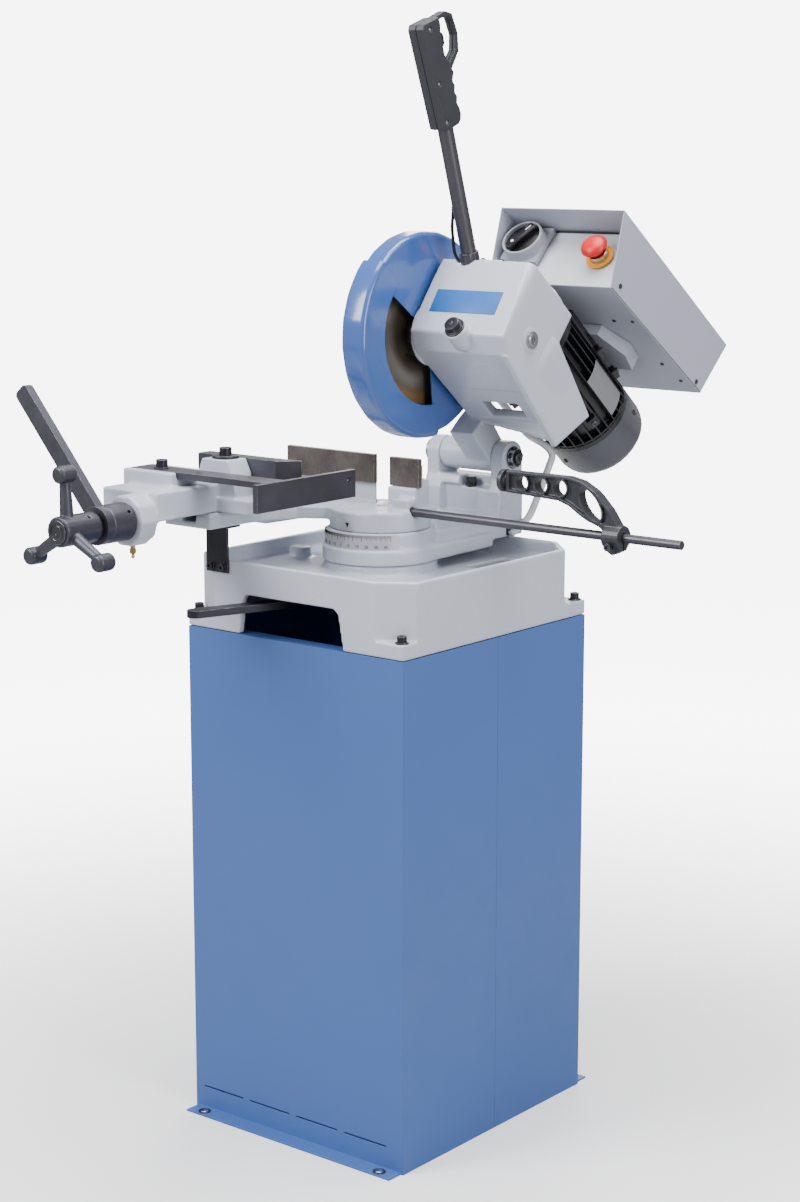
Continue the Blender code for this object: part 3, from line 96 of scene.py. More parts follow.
def on_blade(x, radius=0.0, angle=0.0):
    """Point round the spindle; angle in degrees from the head's +Y towards +Z."""
    t = math.radians(angle)
    return head(x, BLADE_Y + radius * math.cos(t), BLADE_Z + radius * math.sin(t))


def on_motor(y, radius=0.0, angle=0.0):
    """Point round the motor axis; angle in degrees from +X towards the head's +Z."""
    t = math.radians(angle)
    return head(MOTOR_X + radius * math.cos(t), y, MOTOR_Z + radius * math.sin(t))


def motor_out(angle):
    t = math.radians(angle)
    return head_dir(math.cos(t), 0, math.sin(t))


# ======================================================================
# Materials
# ======================================================================
def linear(rgb):
    return [(c / 255.0) ** 2.2 for c in rgb]


def shade(color, factor):
    return [min(1.0, v * factor) for v in color]


def lift(color, factor, add):
    return [min(1.0, v * factor + add) for v in color]


SURFACE_INPUTS = {
    "color": "Base Color", "rough": "Roughness", "metal": "Metallic",
    "normal": "Normal", "coat": "Coat Weight", "coat_rough": "Coat Roughness",
    "trans": "Transmission Weight", "ior": "IOR", "sss": "Subsurface Weight",
    "aniso": "Anisotropic", "tangent": "Tangent",
}


class Material:
    """A Principled material wired from noise layers."""

    def __init__(self, name):
        self.material = bpy.data.materials.new(name)
        self.material.use_nodes = True
        self.tree = self.material.node_tree
        self.surface = self.tree.nodes["Principled BSDF"]
        self.coords = self.node("TexCoord").outputs["Object"]

    def feed(self, socket, value):
        """Link the socket to another one, or set its value."""
        if isinstance(value, bpy.types.NodeSocket):
            self.tree.links.new(value, socket)
        elif socket.type == "RGBA":
            socket.default_value = (*value, 1.0)
        else:
            socket.default_value = value

    def node(self, kind, inputs=None, **settings):
        made = self.tree.nodes.new("ShaderNode" + kind)
        for key, value in settings.items():
            setattr(made, key, value)
        for key, value in (inputs or {}).items():
            self.feed(made.inputs[key], value)
        return made

    def stretched(self, scale):
        inputs = {"Scale": scale, "Vector": self.coords}
        return self.node("Mapping", inputs).outputs["Vector"]

    def noise(self, scale, detail, rough=0.5, vector=None):
        inputs = {"Scale": scale, "Detail": detail, "Roughness": rough,
                  "Distortion": 0.0, "Vector": vector or self.coords}
        return self.node("TexNoise", inputs).outputs["Fac"]

    def ramp(self, value, low, high, out_low=0.0, out_high=1.0, curve="LINEAR"):
        inputs = {"From Min": low, "From Max": high, "To Min": out_low,
                  "To Max": out_high, "Value": value}
        made = self.node("MapRange", inputs, clamp=True, interpolation_type=curve)
        return made.outputs["Result"]

    def multiply(self, a, b):
        return self.node("Math", {0: a, 1: b}, operation="MULTIPLY").outputs["Value"]

    def vector_math(self, operation, *inputs):
        made = self.node("VectorMath", dict(enumerate(inputs)), operation=operation)
        scalar = operation in ("LENGTH", "DOT_PRODUCT")
        return made.outputs["Value" if scalar else "Vector"]

    def mix(self, factor, a, b):
        # a colour mix has its factor at 0, its colours at 6 and 7, its result at 2
        made = self.node("Mix", {0: factor, 6: a, 7: b}, data_type="RGBA",
                         clamp_factor=True)
        return made.outputs[2]

    def edge(self, radius_mm):
        """(rounded normal, mask that is 1 on sharp convex or concave edges)"""
        bevel = self.node("Bevel", {"Radius": radius_mm * MM}, samples=4)
        flat = self.node("NewGeometry").outputs["Normal"]
        likeness = self.vector_math("DOT_PRODUCT", bevel.outputs["Normal"], flat)
        return bevel.outputs["Normal"], self.ramp(likeness, low=0.995, high=0.86)

    def bump(self, height, strength, depth_mm, normal=None):
        inputs = {"Strength": strength, "Distance": depth_mm * MM, "Height": height}
        if normal is not None:
            inputs["Normal"] = normal
        return self.node("Bump", inputs).outputs["Normal"]

    def set(self, **values):
        for key, value in values.items():
            self.feed(self.surface.inputs[SURFACE_INPUTS[key]], value)
        return self.material


# Shared arguments: rough is the mean roughness, strength the weight of the fine
# bump, edge_mm the radius of the rounded shading on edges.
def paint(name, rgb, rough, grain=900.0, grain_mm=0.10, strength=0.25, edge_mm=1.0,
          wear_and_sheen=0.35, coat=0.0, waves=0.0, dirt=0.12):
    """Sprayed or powder-coated metal. grain is the noise scale of its skin and
    grain_mm its depth; wear_and_sheen makes the edges paler, partly as worn paint and
    partly as a painted highlight on edges that catch the light; waves adds a slow
    unevenness."""
    m = Material(name)
    base = linear(rgb)
    clouds = m.ramp(m.noise(scale=2.3, detail=3), low=0.3, high=0.7)
    tone = m.mix(clouds, shade(base, 0.955), shade(base, 1.035))
    normal, edges = m.edge(edge_mm)
    patches = m.ramp(m.noise(scale=60, detail=5, rough=0.6), low=0.42, high=0.66)
    # edges paler: partly worn paint, partly a painted highlight where edges catch the
    # light
    pale_edges = m.multiply(m.multiply(edges, patches), wear_and_sheen)
    tone = m.mix(pale_edges, tone, lift(base, factor=1.35, add=0.03))
    stains = m.ramp(m.noise(scale=9, detail=6, rough=0.65), low=0.52, high=0.8)
    tone = m.mix(m.multiply(stains, dirt), tone, shade(base, 0.72))
    skin = m.noise(scale=grain, detail=2)
    normal = m.bump(skin, strength, grain_mm, normal)
    if waves:
        normal = m.bump(m.noise(scale=38, detail=2), waves, depth_mm=0.6, normal=normal)
    gloss = m.ramp(m.noise(scale=14, detail=4), low=0.3, high=0.75,
                   out_low=rough - 0.05, out_high=rough + 0.08)
    return m.set(color=tone, rough=gloss, normal=normal, coat=coat, coat_rough=0.12)


def steel(name, rgb, rough, metal=1.0, streak=(1, 1, 1), edge_mm=0.6, pale_edges=0.6,
          bright=(0.62, 0.62, 0.63), blotch=0.2, strength=0.15):
    """Machined or blackened steel. streak stretches the tool lines, blotch is the
    weight of handling marks, pale_edges how far edges are worn through to bright."""
    m = Material(name)
    base = linear(rgb)
    lines = m.noise(scale=160, detail=3, rough=0.6, vector=m.stretched(streak))
    spots = m.ramp(m.noise(scale=18, detail=6, rough=0.65), low=0.35, high=0.75)
    tone = m.mix(m.multiply(spots, blotch), base, shade(base, 1.7))
    dark_lines = m.ramp(lines, low=0.35, high=0.7, out_high=0.35)
    tone = m.mix(dark_lines, tone, shade(base, 0.72))
    normal, edges = m.edge(edge_mm)
    patches = m.ramp(m.noise(scale=90, detail=4), low=0.35, high=0.6)
    worn = m.multiply(m.multiply(edges, patches), pale_edges)
    tone = m.mix(worn, tone, bright)
    normal = m.bump(lines, strength, depth_mm=0.1, normal=normal)
    gloss = m.ramp(m.noise(scale=22, detail=5), low=0.3, high=0.75,
                   out_low=rough - 0.07, out_high=rough + 0.12)
    return m.set(color=tone, rough=gloss, metal=metal, normal=normal)


def plastic(name, rgb, rough, grain, strength, edge_mm=0.7):
    """Moulded plastic; grain is the noise scale of its texture."""
    m = Material(name)
    base = linear(rgb)
    clouds = m.ramp(m.noise(scale=30, detail=4), low=0.35, high=0.7)
    tone = m.mix(clouds, shade(base, 0.93), shade(base, 1.08))
    normal, edges = m.edge(edge_mm)
    tone = m.mix(m.multiply(edges, 0.25), tone, lift(base, factor=1.25, add=0.02))
    normal = m.bump(m.noise(scale=grain, detail=2), strength, depth_mm=0.08,
                    normal=normal)
    gloss = m.ramp(m.noise(scale=25, detail=3), low=0.3, high=0.7,
                   out_low=rough - 0.05, out_high=rough + 0.07)
    return m.set(color=tone, rough=gloss, normal=normal)


def blade_steel():
    """Radially ground steel, with painted highlights that fan out from the bore and a
    painted ring highlight part way out. Radii in metres.
    """
    m = Material("blade_high_speed_steel")
    out = m.vector_math("SUBTRACT", m.coords, on_blade(0))
    radius = m.vector_math("LENGTH", out)
    around = m.vector_math("NORMALIZE", m.vector_math("CROSS_PRODUCT", (1, 0, 0), out))
    by_radius = m.node("CombineXYZ", {0: radius}).outputs["Vector"]
    rings = m.noise(scale=900, detail=3, rough=0.6, vector=by_radius)
    wide_rings = m.noise(scale=60, detail=2, vector=by_radius)
    fan = m.vector_math("NORMALIZE", out)
    # painted highlights fanning out from the bore
    rays = m.ramp(m.noise(scale=1.3, detail=1, vector=fan), low=0.38, high=0.66,
                  out_high=0.55)
    # grey middle to straw rim, with a painted ring highlight between and bright teeth
    tone = m.mix(m.ramp(radius, low=0.074, high=0.092), linear((104, 96, 90)),
                 linear((164, 130, 84)))
    # painted ring highlight, a light grey band round the middle
    ring_highlight = m.multiply(m.ramp(radius, low=0.052, high=0.062),
                      m.ramp(radius, low=0.082, high=0.068))
    tone = m.mix(ring_highlight, tone, linear((158, 154, 148)))
    tone = m.mix(m.ramp(wide_rings, low=0.35, high=0.7, out_high=0.5), tone,
                 linear((120, 100, 80)))
    # painted fan highlights mixed into the colour
    tone = m.mix(rays, tone, linear((150, 134, 112)))
    tone = m.mix(m.ramp(radius, low=0.117, high=0.1225), tone, linear((170, 170, 175)))
    normal = m.bump(rings, strength=0.25, depth_mm=0.08)
    gloss = m.ramp(rings, low=0.3, high=0.7, out_low=0.3, out_high=0.42)
    return m.set(color=tone, metal=0.85, normal=normal, aniso=0.7, rough=gloss,
                 tangent=around)


def hose_plastic():
    m = Material("hose_milky")
    normal = m.bump(m.noise(scale=300, detail=2), strength=0.2, depth_mm=0.2)
    clouds = m.ramp(m.noise(scale=12, detail=3), low=0.3, high=0.7)
    tone = m.mix(clouds, linear((222, 226, 228)), linear((240, 241, 240)))
    return m.set(color=tone, rough=0.28, trans=0.35, ior=1.4, normal=normal, sss=0.15)


FINISH = {
    "stand": paint("stand_powder_coat", (68, 99, 162), rough=0.42, grain=1100,
                   grain_mm=0.12, strength=0.35, edge_mm=1.2, wear_and_sheen=0.3, dirt=0.08,
                   waves=0.05),
    "guard": paint("guard_enamel", (62, 92, 156), rough=0.2, grain=500, grain_mm=0.08,
                   strength=0.2, edge_mm=1.2, wear_and_sheen=0.25, coat=0.6, waves=0.2,
                   dirt=0.05),
    "cast": paint("casting_enamel", (184, 189, 201), rough=0.3, grain=420,
                  grain_mm=0.18, strength=0.35, edge_mm=1.6, wear_and_sheen=0.2, coat=0.35,
                  waves=0.3, dirt=0.16),
    "box": paint("box_powder_coat", (164, 168, 181), rough=0.42, grain=1500,
                 grain_mm=0.14, strength=0.5, edge_mm=0.9, wear_and_sheen=0.25, dirt=0.07),
    "panel": paint("panel_powder_coat", (196, 198, 204), rough=0.42, grain=1500,
                   grain_mm=0.14, strength=0.5, edge_mm=0.6, wear_and_sheen=0.2, dirt=0.05),
    "tank": paint("tank_grey", (150, 155, 160), rough=0.5),
    "cowl": paint("cowl_grey", (72, 74, 81), rough=0.26, strength=0.3, wear_and_sheen=0.3,
                  coat=0.25),
    # the black motor's strong paler edges are mostly painted highlights on its fin edges
    "motor": paint("motor_black", (20, 21, 25), rough=0.25, grain=420, grain_mm=0.16,
                   strength=0.45, edge_mm=0.8, wear_and_sheen=0.7, coat=0.35),
    "oxide": steel("black_oxide", (54, 54, 60), rough=0.36, metal=0.75, edge_mm=0.7,
                   blotch=0.35),
    "tube": steel("handle_tube_oxide", (82, 81, 86), rough=0.36, metal=0.75,
                  streak=(1, 1, 12), pale_edges=0.5, blotch=0.25),
    "drop_forged": steel("drop_forged_oxide", (74, 74, 82), rough=0.4, metal=0.7,
                         edge_mm=0.9, pale_edges=0.35, blotch=0.4, strength=0.3),
    "jawbar": steel("jaw_bar_steel", (82, 81, 88), rough=0.34, metal=0.8,
                    streak=(1, 30, 30), edge_mm=0.8, pale_edges=0.7, blotch=0.3),
    "jaw": steel("ground_jaw", (112, 105, 101), rough=0.3, metal=0.9,
                 streak=(1.6, 1.6, 0.6), edge_mm=0.9, pale_edges=0.9,
                 bright=(0.75, 0.75, 0.78), blotch=0.9),
    "steel": steel("bright_steel", (168, 170, 175), rough=0.24, edge_mm=0.5, pale_edges=0.5,
                   blotch=0.15),
    "screw_end": steel("dull_steel", (92, 92, 98), rough=0.3, metal=0.95, edge_mm=0.4),
    "brass": steel("nipple_brass", (168, 150, 104), rough=0.3, streak=(2, 2, 2),
                   edge_mm=0.4, pale_edges=0.3),
    "bronze": steel("bronze", (176, 130, 70), rough=0.35, streak=(2, 2, 2),
                    edge_mm=0.5, pale_edges=0.3),
    "grip": plastic("grip_plastic", (46, 47, 53), rough=0.46, grain=1300, strength=0.5),
    "plastic": plastic("grey_plastic", (48, 49, 55), rough=0.36, grain=1300,
                       strength=0.4),
    "black": plastic("black_plastic", (18, 18, 22), rough=0.28, grain=1200,
                     strength=0.2),
    "rubber": plastic("cable_rubber", (20, 20, 22), rough=0.5, grain=800, strength=0.3),
    "red": plastic("red_plastic", (204, 10, 16), rough=0.36, grain=700, strength=0.12),
    "yellow": plastic("yellow_plastic", (242, 158, 20), rough=0.34, grain=900,
                      strength=0.2),
    "collar": plastic("switch_grey", (142, 145, 154), rough=0.34, grain=1200,
                      strength=0.3),
    "label": plastic("label_blue", (30, 92, 164), rough=0.5, grain=300, strength=0.05,
                     edge_mm=0.2),
    "plate": steel("nameplate_foil", (150, 152, 158), rough=0.42, metal=0.55,
                   streak=(1, 20, 20), edge_mm=0.2, pale_edges=0.1, blotch=0.15),
    "ink": plastic("engraving_black", (16, 16, 18), rough=0.6, grain=900, strength=0.1,
                   edge_mm=0.1),
    "white": plastic("marking_white", (225, 226, 228), rough=0.45, grain=900,
                     strength=0.1, edge_mm=0.1),
    "scale": steel("scale_metal", (186, 187, 190), rough=0.36, metal=0.35,
                   streak=(1, 1, 20), edge_mm=0.3, pale_edges=0.2, blotch=0.1),
    "blade": blade_steel(),
    "hose": hose_plastic(),
}

SLOT = {
    "guard": "guard_paint", "cast": "casting_paint", "motor": "motor_alloy",
    "oxide": "black_oxide", "tube": "black_oxide", "drop_forged": "black_oxide",
    "steel": "bright_steel", "screw_end": "bright_steel", "brass": "bronze",
    "grip": "grey_plastic", "plastic": "grey_plastic", "collar": "grey_plastic",
    "black": "black_plastic", "rubber": "black_plastic", "red": "red_plastic",
    "label": "box_paint", "plate": "scale_metal", "ink": "scale_metal",
    "white": "scale_metal", "scale": "scale_metal",
}


# ======================================================================
# Mesh tools
# ======================================================================
def add(mesh, name, body, finish, smooth_angle=32.0, slot=None):
    obj = bpy.data.objects.new(name, mesh)
    bpy.context.scene.collection.objects.link(obj)
    mesh.materials.clear()
    mesh.materials.append(FINISH[finish])
    if smooth_angle is not None:
        mesh.shade_smooth()
        mesh.set_sharp_from_angle(angle=math.radians(smooth_angle))
    if body:
        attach(obj, body)
    slot = slot or SLOT.get(finish)
    return obj


def to_mesh(bm, name):
    bmesh.ops.recalc_face_normals(bm, faces=bm.faces)
    mesh = bpy.data.meshes.new(name)
    bm.to_mesh(mesh)
    bm.free()
    return mesh


def mesh_from(name, points, faces):
    bm = bmesh.new()
    verts = [bm.verts.new(p) for p in points]
    for face in faces:
        bm.faces.new([verts[k] for k in face])
    return to_mesh(bm, name)


def skin(name, loops):
    """Closed surface through equal closed loops, capped at both ends."""
    bm = bmesh.new()
    rings = [[bm.verts.new(p) for p in loop] for loop in loops]
    count = len(rings[0])
    for a, b in zip(rings, rings[1:]):
        for i in range(count):
            j = (i + 1) % count
            bm.faces.new((a[i], a[j], b[j], b[i]))
    bm.faces.new(rings[0][::-1])
    bm.faces.new(rings[-1])
    return to_mesh(bm, name)


def frame_of(x_axis, y_axis, z_axis, origin):
    frame = Matrix((x_axis, y_axis, z_axis)).transposed().to_4x4()
    frame.translation = origin
    return frame


def frame_along(base, axis, spin):
    """Frame at base with +Z along axis, spun by degrees about it."""
    turn = Vector((0, 0, 1)).rotation_difference(Vector(axis).normalized())
    return (Matrix.Translation(base) @ turn.to_matrix().to_4x4()
            @ Matrix.Rotation(math.radians(spin), 4, "Z"))


def hexagon(theta):
    """Radius factor of a hexagon whose corners are at factor 1."""
    off = (theta % (math.pi / 3)) - math.pi / 6
    return math.cos(math.pi / 6) / math.cos(off)


def turned(name, profile, base, axis, body, finish, segments=48, spin=0.0,
           smooth_angle=32.0):
    """Turned piece. Profile rows: (radius, height along axis[, "hex"])."""
    bm = bmesh.new()
    rings = []
    for row in profile:
        radius, height = row[0] * MM, row[1] * MM
        if radius <= 0:
            rings.append([bm.verts.new((0, 0, height))])
            continue
        ring = []
        for i in range(segments):
            t = 2 * math.pi * i / segments
            reach = radius * (hexagon(t) if len(row) > 2 else 1.0)
            ring.append(bm.verts.new((reach * math.cos(t), reach * math.sin(t),
                                      height)))
        rings.append(ring)
    for a, b in zip(rings, rings[1:]):
        for i in range(segments):
            j = (i + 1) % segments
            if len(a) == 1:
                bm.faces.new((a[0], b[i], b[j]))
            elif len(b) == 1:
                bm.faces.new((a[i], b[0], a[j]))
            else:
                bm.faces.new((a[i], b[i], b[j], a[j]))
    bm.transform(frame_along(base, axis, spin))
    return add(to_mesh(bm, name), name, body, finish, smooth_angle)


def cap_screw(name, base, axis, radius, height, body, spin=0.0):
    """Cylindrical head with a hexagon socket."""
    socket = radius * 0.52
    floor = height * 0.45
    profile = [(0, floor), (socket, floor, "hex"), (socket, height - 0.35, "hex"),
               (socket * 1.12, height), (radius - 0.7, height),
               (radius, height - 0.7), (radius, 0.0), (0, 0.0)]
    return turned(name, profile, base, axis, body, "oxide", spin=spin)


def hex_head(name, base, axis, radius, height, body, spin=0.0):
    profile = [(0, height), (radius * 0.78, height), (radius * 0.86, height - 0.25),
               (radius, height - 1.3, "hex"), (radius, 0, "hex"), (0, 0)]
    return turned(name, profile, base, axis, body, "oxide", spin=spin)


def washer(name, base, radius, hole, thickness, body):
    profile = [(hole, thickness), (radius - 0.4, thickness),
               (radius, thickness - 0.4), (radius, 0), (hole, 0), (hole, thickness)]
    return turned(name, profile, base, (0, 0, 1), body, "oxide")


def block(name, size, frame, body, finish, bevel, segments, slot=None):
    """Box of a size centred on frame, with rounded edges."""
    bm = bmesh.new()
    bmesh.ops.create_cube(bm, size=1.0)
    bmesh.ops.scale(bm, vec=Vector(size) * MM, verts=bm.verts)
    bmesh.ops.bevel(bm, geom=bm.edges[:], offset=bevel * MM, segments=segments,
                    profile=0.5, affect="EDGES")
    bm.transform(frame)
    return add(to_mesh(bm, name), name, body, finish, slot=slot)


def smooth_path(points, steps):
    """Catmull-Rom through the points, with steps between neighbours."""
    points = [points[0] * 2 - points[1]] + points + [points[-1] * 2 - points[-2]]
    path = []
    for i in range(1, len(points) - 2):
        p0, p1, p2, p3 = points[i - 1:i + 3]
        for k in range(steps):
            t = k / steps
            path.append(0.5 * ((2 * p1) + (p2 - p0) * t
                               + (2 * p0 - 5 * p1 + 4 * p2 - p3) * t * t
                               + (3 * p1 - p0 - 3 * p2 + p3) * t * t * t))
    path.append(points[-2])
    return path


def tube(name, points, radius, segments, steps):
    """Mesh of a round tube; its cross-section is carried along without twist."""
    path = smooth_path(points, steps)
    loops = []
    normal = None
    for i, point in enumerate(path):
        before = path[max(0, i - 1)]
        after = path[min(len(path) - 1, i + 1)]
        tangent = (after - before).normalized()
        if normal is None:
            steep = abs(tangent.z) >= 0.9
            normal = tangent.cross(Vector((1, 0, 0) if steep else (0, 0, 1))).normalized()
        else:
            normal = (normal - tangent * normal.dot(tangent)).normalized()
        side = tangent.cross(normal)
        turns = [2 * math.pi * k / segments for k in range(segments)]
        loops.append([point + (normal * math.cos(t) + side * math.sin(t)) * radius * MM
                      for t in turns])
    return skin(name, loops)


def evaluated(obj, name):
    graph = bpy.context.evaluated_depsgraph_get()
    graph.update()
    mesh = bpy.data.meshes.new_from_object(obj.evaluated_get(graph))
    mesh.name = name
    return mesh


# ======================================================================
# Carried-over CAD nodes
# ======================================================================
def clear_normals(mesh):
    if "custom_normal" in mesh.attributes:
        mesh.attributes.remove(mesh.attributes["custom_normal"])


def welded_copy(node):
    mesh = NODES[node].data.copy()
    clear_normals(mesh)
    bm = bmesh.new()
    bm.from_mesh(mesh)
    bmesh.ops.remove_doubles(bm, verts=bm.verts, dist=2e-6)
    bm.to_mesh(mesh)
    bm.free()
    return mesh


def soften(node, body, finish, voxel, rounds, keep, grow=0.0):
    """A CAD solid with the soft edges of a casting or moulding: remeshed finely,
    relaxed, then thinned."""
    solid = bpy.data.objects.new(node + "_tmp", welded_copy(node))
    bpy.context.scene.collection.objects.link(solid)
    remesh = solid.modifiers.new("remesh", "REMESH")
    remesh.mode = "VOXEL"
    remesh.voxel_size = voxel * MM * 1.0
    remesh.adaptivity = 0.0
    relax = solid.modifiers.new("relax", "SMOOTH")
    relax.factor = 0.5
    relax.iterations = rounds
    if grow:
        swell = solid.modifiers.new("grow", "DISPLACE")
        swell.mid_level = 0.0
        swell.strength = grow * MM
    thin = solid.modifiers.new("thin", "DECIMATE")
    thin.ratio = keep
    mesh = evaluated(solid, node + "_soft")
    bpy.data.objects.remove(solid)
    obj = add(mesh, node + "_soft", body, finish, smooth_angle=None)
    mesh.shade_smooth()
    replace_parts(obj, node)


def dress(node, finish, bevel=0.0, angle=30.0):
    """Keep a CAD node, give it its finish and crisp, lightly broken edges."""
    obj = NODES[node]
    clear_normals(obj.data)
    obj.data.shade_smooth()
    if not obj.material_slots:
        obj.data.materials.append(FINISH[finish])
    for material_slot in obj.material_slots:
        material_slot.material = FINISH[finish]
    weld = obj.modifiers.new("weld", "WELD")
    weld.merge_threshold = 0.000002
    if bevel:
        flat = obj.modifiers.new("flat", "DECIMATE")
        flat.decimate_type = "DISSOLVE"
        flat.angle_limit = math.radians(0.6)
        broken = obj.modifiers.new("broken_edges", "BEVEL")
        broken.width = bevel * MM
        broken.segments = 2
        broken.limit_method = "ANGLE"
        broken.angle_limit = math.radians(angle)
        broken.harden_normals = False
    split = obj.modifiers.new("split", "EDGE_SPLIT")
    split.split_angle = math.radians(28 if bevel else angle)
    if bevel:
        weighted = obj.modifiers.new("weighted", "WEIGHTED_NORMAL")
        weighted.weight = 100
        weighted.keep_sharp = True


# node, finish[, edge bevel mm[, sharp angle in degrees]]
DRESSED = [
    ("stand_front_panel", "stand", 0.7), ("stand_rear_panel", "stand", 0.7),
    ("coolant_tank", "tank", 0.8), ("coolant_pump", "black"),
    ("pivot_post", "steel"), ("fixed_jaw_left", "jaw", 0.6),
    ("fixed_jaw_right", "jaw", 0.7), ("vise_nut", "bronze"),
    ("support_strap", "oxide"), ("swivel_lock_lever", "oxide"),
    ("moving_jaw", "jawbar", 1.0), ("anti_burr_stop", "jawbar", 0.8),
    ("vise_screw", "screw_end"), ("stop_rod", "tube", 0.8),
    ("stop_screw", "screw_end"), ("angle_scale", "scale"),
    ("hinge_pin", "steel"), ("depth_stop_screw", "oxide"),
    ("clamp_lever", "drop_forged", 0.8), ("bearing_cover", "cast", 0.0, 34),
    ("spindle_bearing_left", "steel"), ("spindle_bearing_right", "steel"),
    ("spindle", "oxide"), ("saw_blade", "blade"), ("blade_flange", "oxide"),
    ("blade_bolt", "oxide"), ("worm_wheel", "bronze"), ("worm_shaft", "steel"),
    ("motor_rotor", "steel"), ("motor_body", "motor"),
    ("motor_cowl", "cowl", 0.0, 34), ("oil_level_plug", "steel"),
    ("handle_tube", "tube"), ("trigger", "black", 1.2),
    ("control_box", "box", 1.2), ("control_panel", "panel", 0.5),
    ("box_bracket", "box", 1.0), ("estop_base", "yellow"),
    ("switch_base", "collar", 0.8),
]
for row in DRESSED:
    dress(*row)

# node, body, finish, voxel mm, relaxing rounds, share of faces kept[, swelling mm]
SOFTENED = [
    ("base_casting", "base", "cast", 2.4, 4, 0.42),
    ("vise_table", "base", "cast", 1.9, 6, 0.42),
    ("vise_slide", "vise_slide", "cast", 1.7, 6, 0.45),
    ("swivel_arm", "swivel", "cast", 2.0, 6, 0.42),
    ("head_casting", "head", "cast", 1.6, 3, 0.42),
    ("handwheel", "handwheel", "drop_forged", 1.0, 7, 0.5, 1.1),
    ("stop_arm", "stop_arm", "plastic", 0.8, 3, 0.5),
    ("grip_shell_left", "head", "grip", 0.8, 5, 0.5),
    ("grip_shell_right", "head", "grip", 0.8, 5, 0.5),
]
for row in SOFTENED:
    soften(*row)


# ======================================================================
# Guards: pressed sheet with a rounded rim, swept round the spindle
# ======================================================================
GUARD_FACET = 15  # degrees per facet of the rim
HUB_X = -20.9
PIVOT_CAP_X = -20.0
GUARD_SCREW_X, GUARD_SCREW_RING = 18.6, 30
STUD_X, STUD_RING, STUD_COUNT = 10.3, 25, 4


def rim_line(half_width, rim, left, right, corner):
    """One line of a U section as (x, radius), from its left edge to its right."""
    points = [(-half_width, left)]
    for side, start in ((-1, 180), (1, 90)):
        for i in range(7):
            a = math.radians(start - 90 * i / 6)
            points.append((side * (half_width - corner) + corner * math.cos(a),
                           rim - corner + corner * math.sin(a)))
    points.append((half_width, right))
    return points


def swept_guard(node, start, end, steps, half_width, rim, left, right, sheet, corner):
    """Faceted guard from start to end degrees; left and right are the radii where
    its two side walls stop."""
    outer = rim_line(half_width, rim, left, right, corner)
    inner = rim_line(half_width - sheet, rim - sheet, left, right, corner - sheet)
    half_facet = GUARD_FACET / 2
    loops = []
    for i in range(steps + 1):
        angle = start + (end - start) * i / steps
        off = math.radians(angle % GUARD_FACET - half_facet)
        # half way between a round rim and a polygon
        stretch = 1.0 + (math.cos(math.radians(half_facet)) / math.cos(off) - 1.0) * 0.5
        loops.append([on_blade(x, radius * stretch, angle)
                      for x, radius in outer + inner[::-1]])
    name = node + "_shell"
    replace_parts(add(skin(name, loops), name, GUARD_BODY[node], "guard", 35), node)


GUARD_BODY = {"upper_guard": "head", "lower_guard": "lower_guard"}
swept_guard("upper_guard", start=-45, end=184, steps=96, half_width=18.5, rim=144,
            left=22, right=22, sheet=1.8, corner=7.0)
swept_guard("lower_guard", start=174, end=318, steps=60, half_width=20.8, rim=148.7,
            left=24, right=101, sheet=1.6, corner=8.0)
# hub plate of the lower guard, and the cap over its pivot
turned("lower_guard_hub",
       [(8.4, 2.2), (24, 2.2), (26.5, 1.6), (28.5, 0.4), (28.5, 0), (8.4, 0),
        (8.4, 2.2)],
       on_blade(HUB_X), LEFT, "lower_guard", "guard")
turned("guard_pivot_cap",
       [(0, 5.2), (6, 5.2), (7.8, 4), (8.0, 0), (8, -3), (0, -3)],
       on_blade(PIVOT_CAP_X), LEFT, "head", "steel")
for i, angle in enumerate((35, 95, 155)):
    cap_screw(f"guard_screw_{i}", on_blade(GUARD_SCREW_X, GUARD_SCREW_RING, angle),
              RIGHT, radius=4.2, height=3.2, body="head")
for i in range(STUD_COUNT):
    hex_head(f"spindle_stud_{i}", on_blade(STUD_X, STUD_RING, 45 + 360 / STUD_COUNT * i),
             RIGHT, radius=4.6, height=4.0, body="blade")

# ======================================================================
# Base and vise fastenings
# ======================================================================
BASE_BOLT_X, BASE_BOLT_Y = 184, 198
BASE_WASHER_Z, BASE_WASHER_THICK = 742.2, 1.8
ANCHOR_X, ANCHOR_Y, ANCHOR_Z = 165, 224, 2.6
JAW_SCREW = (-121, -207)
JAW_WASHER_Z, JAW_WASHER_THICK = 965.0, 3.4
BURR_SCREW = (-190, -261.5)
BURR_WASHER_Z, BURR_WASHER_THICK = 950.2, 1.4

for i, (side, end) in enumerate(((-1, -1), (1, -1), (1, 1), (-1, 1))):
    x, y = side * BASE_BOLT_X, end * BASE_BOLT_Y
    washer(f"base_washer_{i + 1}", mm(x, y, BASE_WASHER_Z), radius=9.3, hole=4.4,
           thickness=BASE_WASHER_THICK, body="base")
    screw = cap_screw(f"base_screw_{i + 1}",
                      mm(x, y, BASE_WASHER_Z + BASE_WASHER_THICK), (0, 0, 1),
                      radius=6.6, height=8.4, body="base", spin=11 * i)
    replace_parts(screw, f"base_bolt_{i + 1}")
for i, x in enumerate((-ANCHOR_X, ANCHOR_X)):
    for end, letter in ((-1, "f"), (1, "r")):
        washer(f"anchor_washer_{i}_{letter}", mm(x, end * ANCHOR_Y, ANCHOR_Z),
               radius=9.0, hole=6.0, thickness=1.2, body="base")

